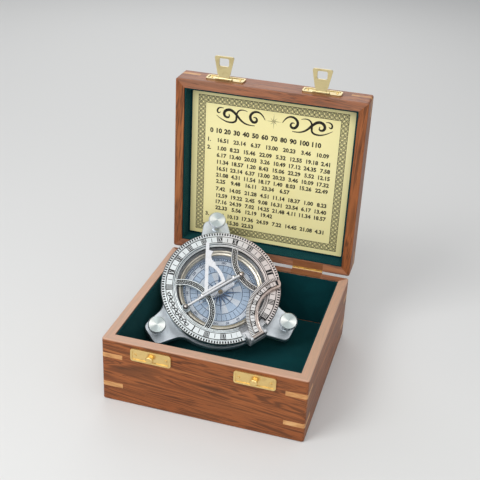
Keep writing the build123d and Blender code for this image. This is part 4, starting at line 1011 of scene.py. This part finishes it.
head_top, screw_circle, knurls = 18.5, 54.0, 56
head_section = [(0.12, head_top), (1.0, head_top + 0.03), (5.5, head_top + 0.16), (5.75, head_top + 0.16),
                (5.75, head_top - 0.2), (0.12, head_top - 0.2)]
for number, (angle, body) in enumerate(((30, "screw_right"), (150, "screw_rear"), (270, "screw_left")), start=1):
    spot = polar(screw_circle, angle)
    drawing = bmesh.new()
    swept(drawing, head_section, 0, 360, 64, spot)
    face = on_dial(drawing, f"screw_face_{number}", turned_face, 30, body)
    turning_map(face, spot)
    drawing = bmesh.new()
    for index in range(knurls):
        around = index * 360 / knurls
        spoke(drawing, 6.15, 6.42, around, 0.34, head_top - 2.1, head_top - 0.55, spot)
    on_dial(drawing, f"screw_knurl_{number}", nickel, body=body)

# %% [markdown]
# ## Rivets
# Two bright domes hold the gnomon's flange to its barrel. Each is a ball pressed flatter.

# %% Make the rivets
drawing = bmesh.new()
for y in (-16.1, 10.8):
    bmesh.ops.create_uvsphere(drawing, u_segments=20, v_segments=12, radius=1.25,
                              matrix=Matrix.Translation((-1.0, y, 21.6)) @ Matrix.Diagonal((1, 1, 0.8, 1)))
on_dial(drawing, "gnomon_rivets", bright_steel, 60, "gnomon")

# %% [markdown]
# ## Floor, light and camera
# A plain pale floor runs past the frame of the picture. Four large soft lamps and a plain pale surround
# light the box at a level where a colour looks as it was written. The camera stands where the
# photographer's did: to the right of the box, a bit more than half a metre away, and above it.

# %% Floor and surround
floor_finish = start_finish("pale_floor", Roughness=0.9, Specular_IOR_Level=0.2,
                            Base_Color=painted(222, 222, 220))[0]
drawing = bmesh.new()
bmesh.ops.create_grid(drawing, x_segments=8, y_segments=8, size=4)
mesh = bpy.data.meshes.new("floor")
drawing.to_mesh(mesh)
drawing.free()
mesh.materials.append(floor_finish)
floor = bpy.data.objects.new("floor", mesh)
floor.location.z = -0.0002
bpy.context.scene.collection.objects.link(floor)
surround = bpy.data.worlds.new("surround")
bpy.context.scene.world = surround
surround.use_nodes = True
sky = surround.node_tree.nodes["Background"]
sky.inputs["Color"].default_value = painted(226, 228, 232)
sky.inputs["Strength"].default_value = 0.5


# %% Lamps
def soft_lamp(name, place, target, size, power):
    """A square soft lamp that faces a point."""
    lamp = bpy.data.lights.new(name, "AREA")
    lamp.size, lamp.energy = size, power
    holder = bpy.data.objects.new(name, lamp)
    holder.location = place
    holder.rotation_euler = (Vector(target) - Vector(place)).to_track_quat("-Z", "Y").to_euler()
    bpy.context.scene.collection.objects.link(holder)


soft_lamp("front_lamp", (-0.55, -0.75, 0.95), (0, 0, 0.06), 0.6, 7.5)
soft_lamp("overhead_lamp", (0.25, -0.2, 1.15), (0, 0, 0.05), 1.2, 2.8)
soft_lamp("back_lamp", (-0.35, 0.95, 0.75), (0, 0, 0.08), 0.8, 3)
soft_lamp("low_lamp", (0.3, -1.05, 0.75), (0, 0, 0.05), 0.7, 5)
print("four soft lamps and a pale surround")

# %% Camera
lens = bpy.data.cameras.new("camera")
lens.sensor_width, lens.lens = 36.0, 67.456
lens.clip_start, lens.clip_end = 0.05, 20
camera = bpy.data.objects.new("camera", lens)
camera.location = (0.14268, -0.51965, 0.38358)
camera.rotation_euler = [math.radians(v) for v in (62.33043, -2.56802, 16.45081)]
bpy.context.scene.collection.objects.link(camera)
bpy.context.scene.camera = camera
bpy.context.scene.view_settings.view_transform = "Standard"
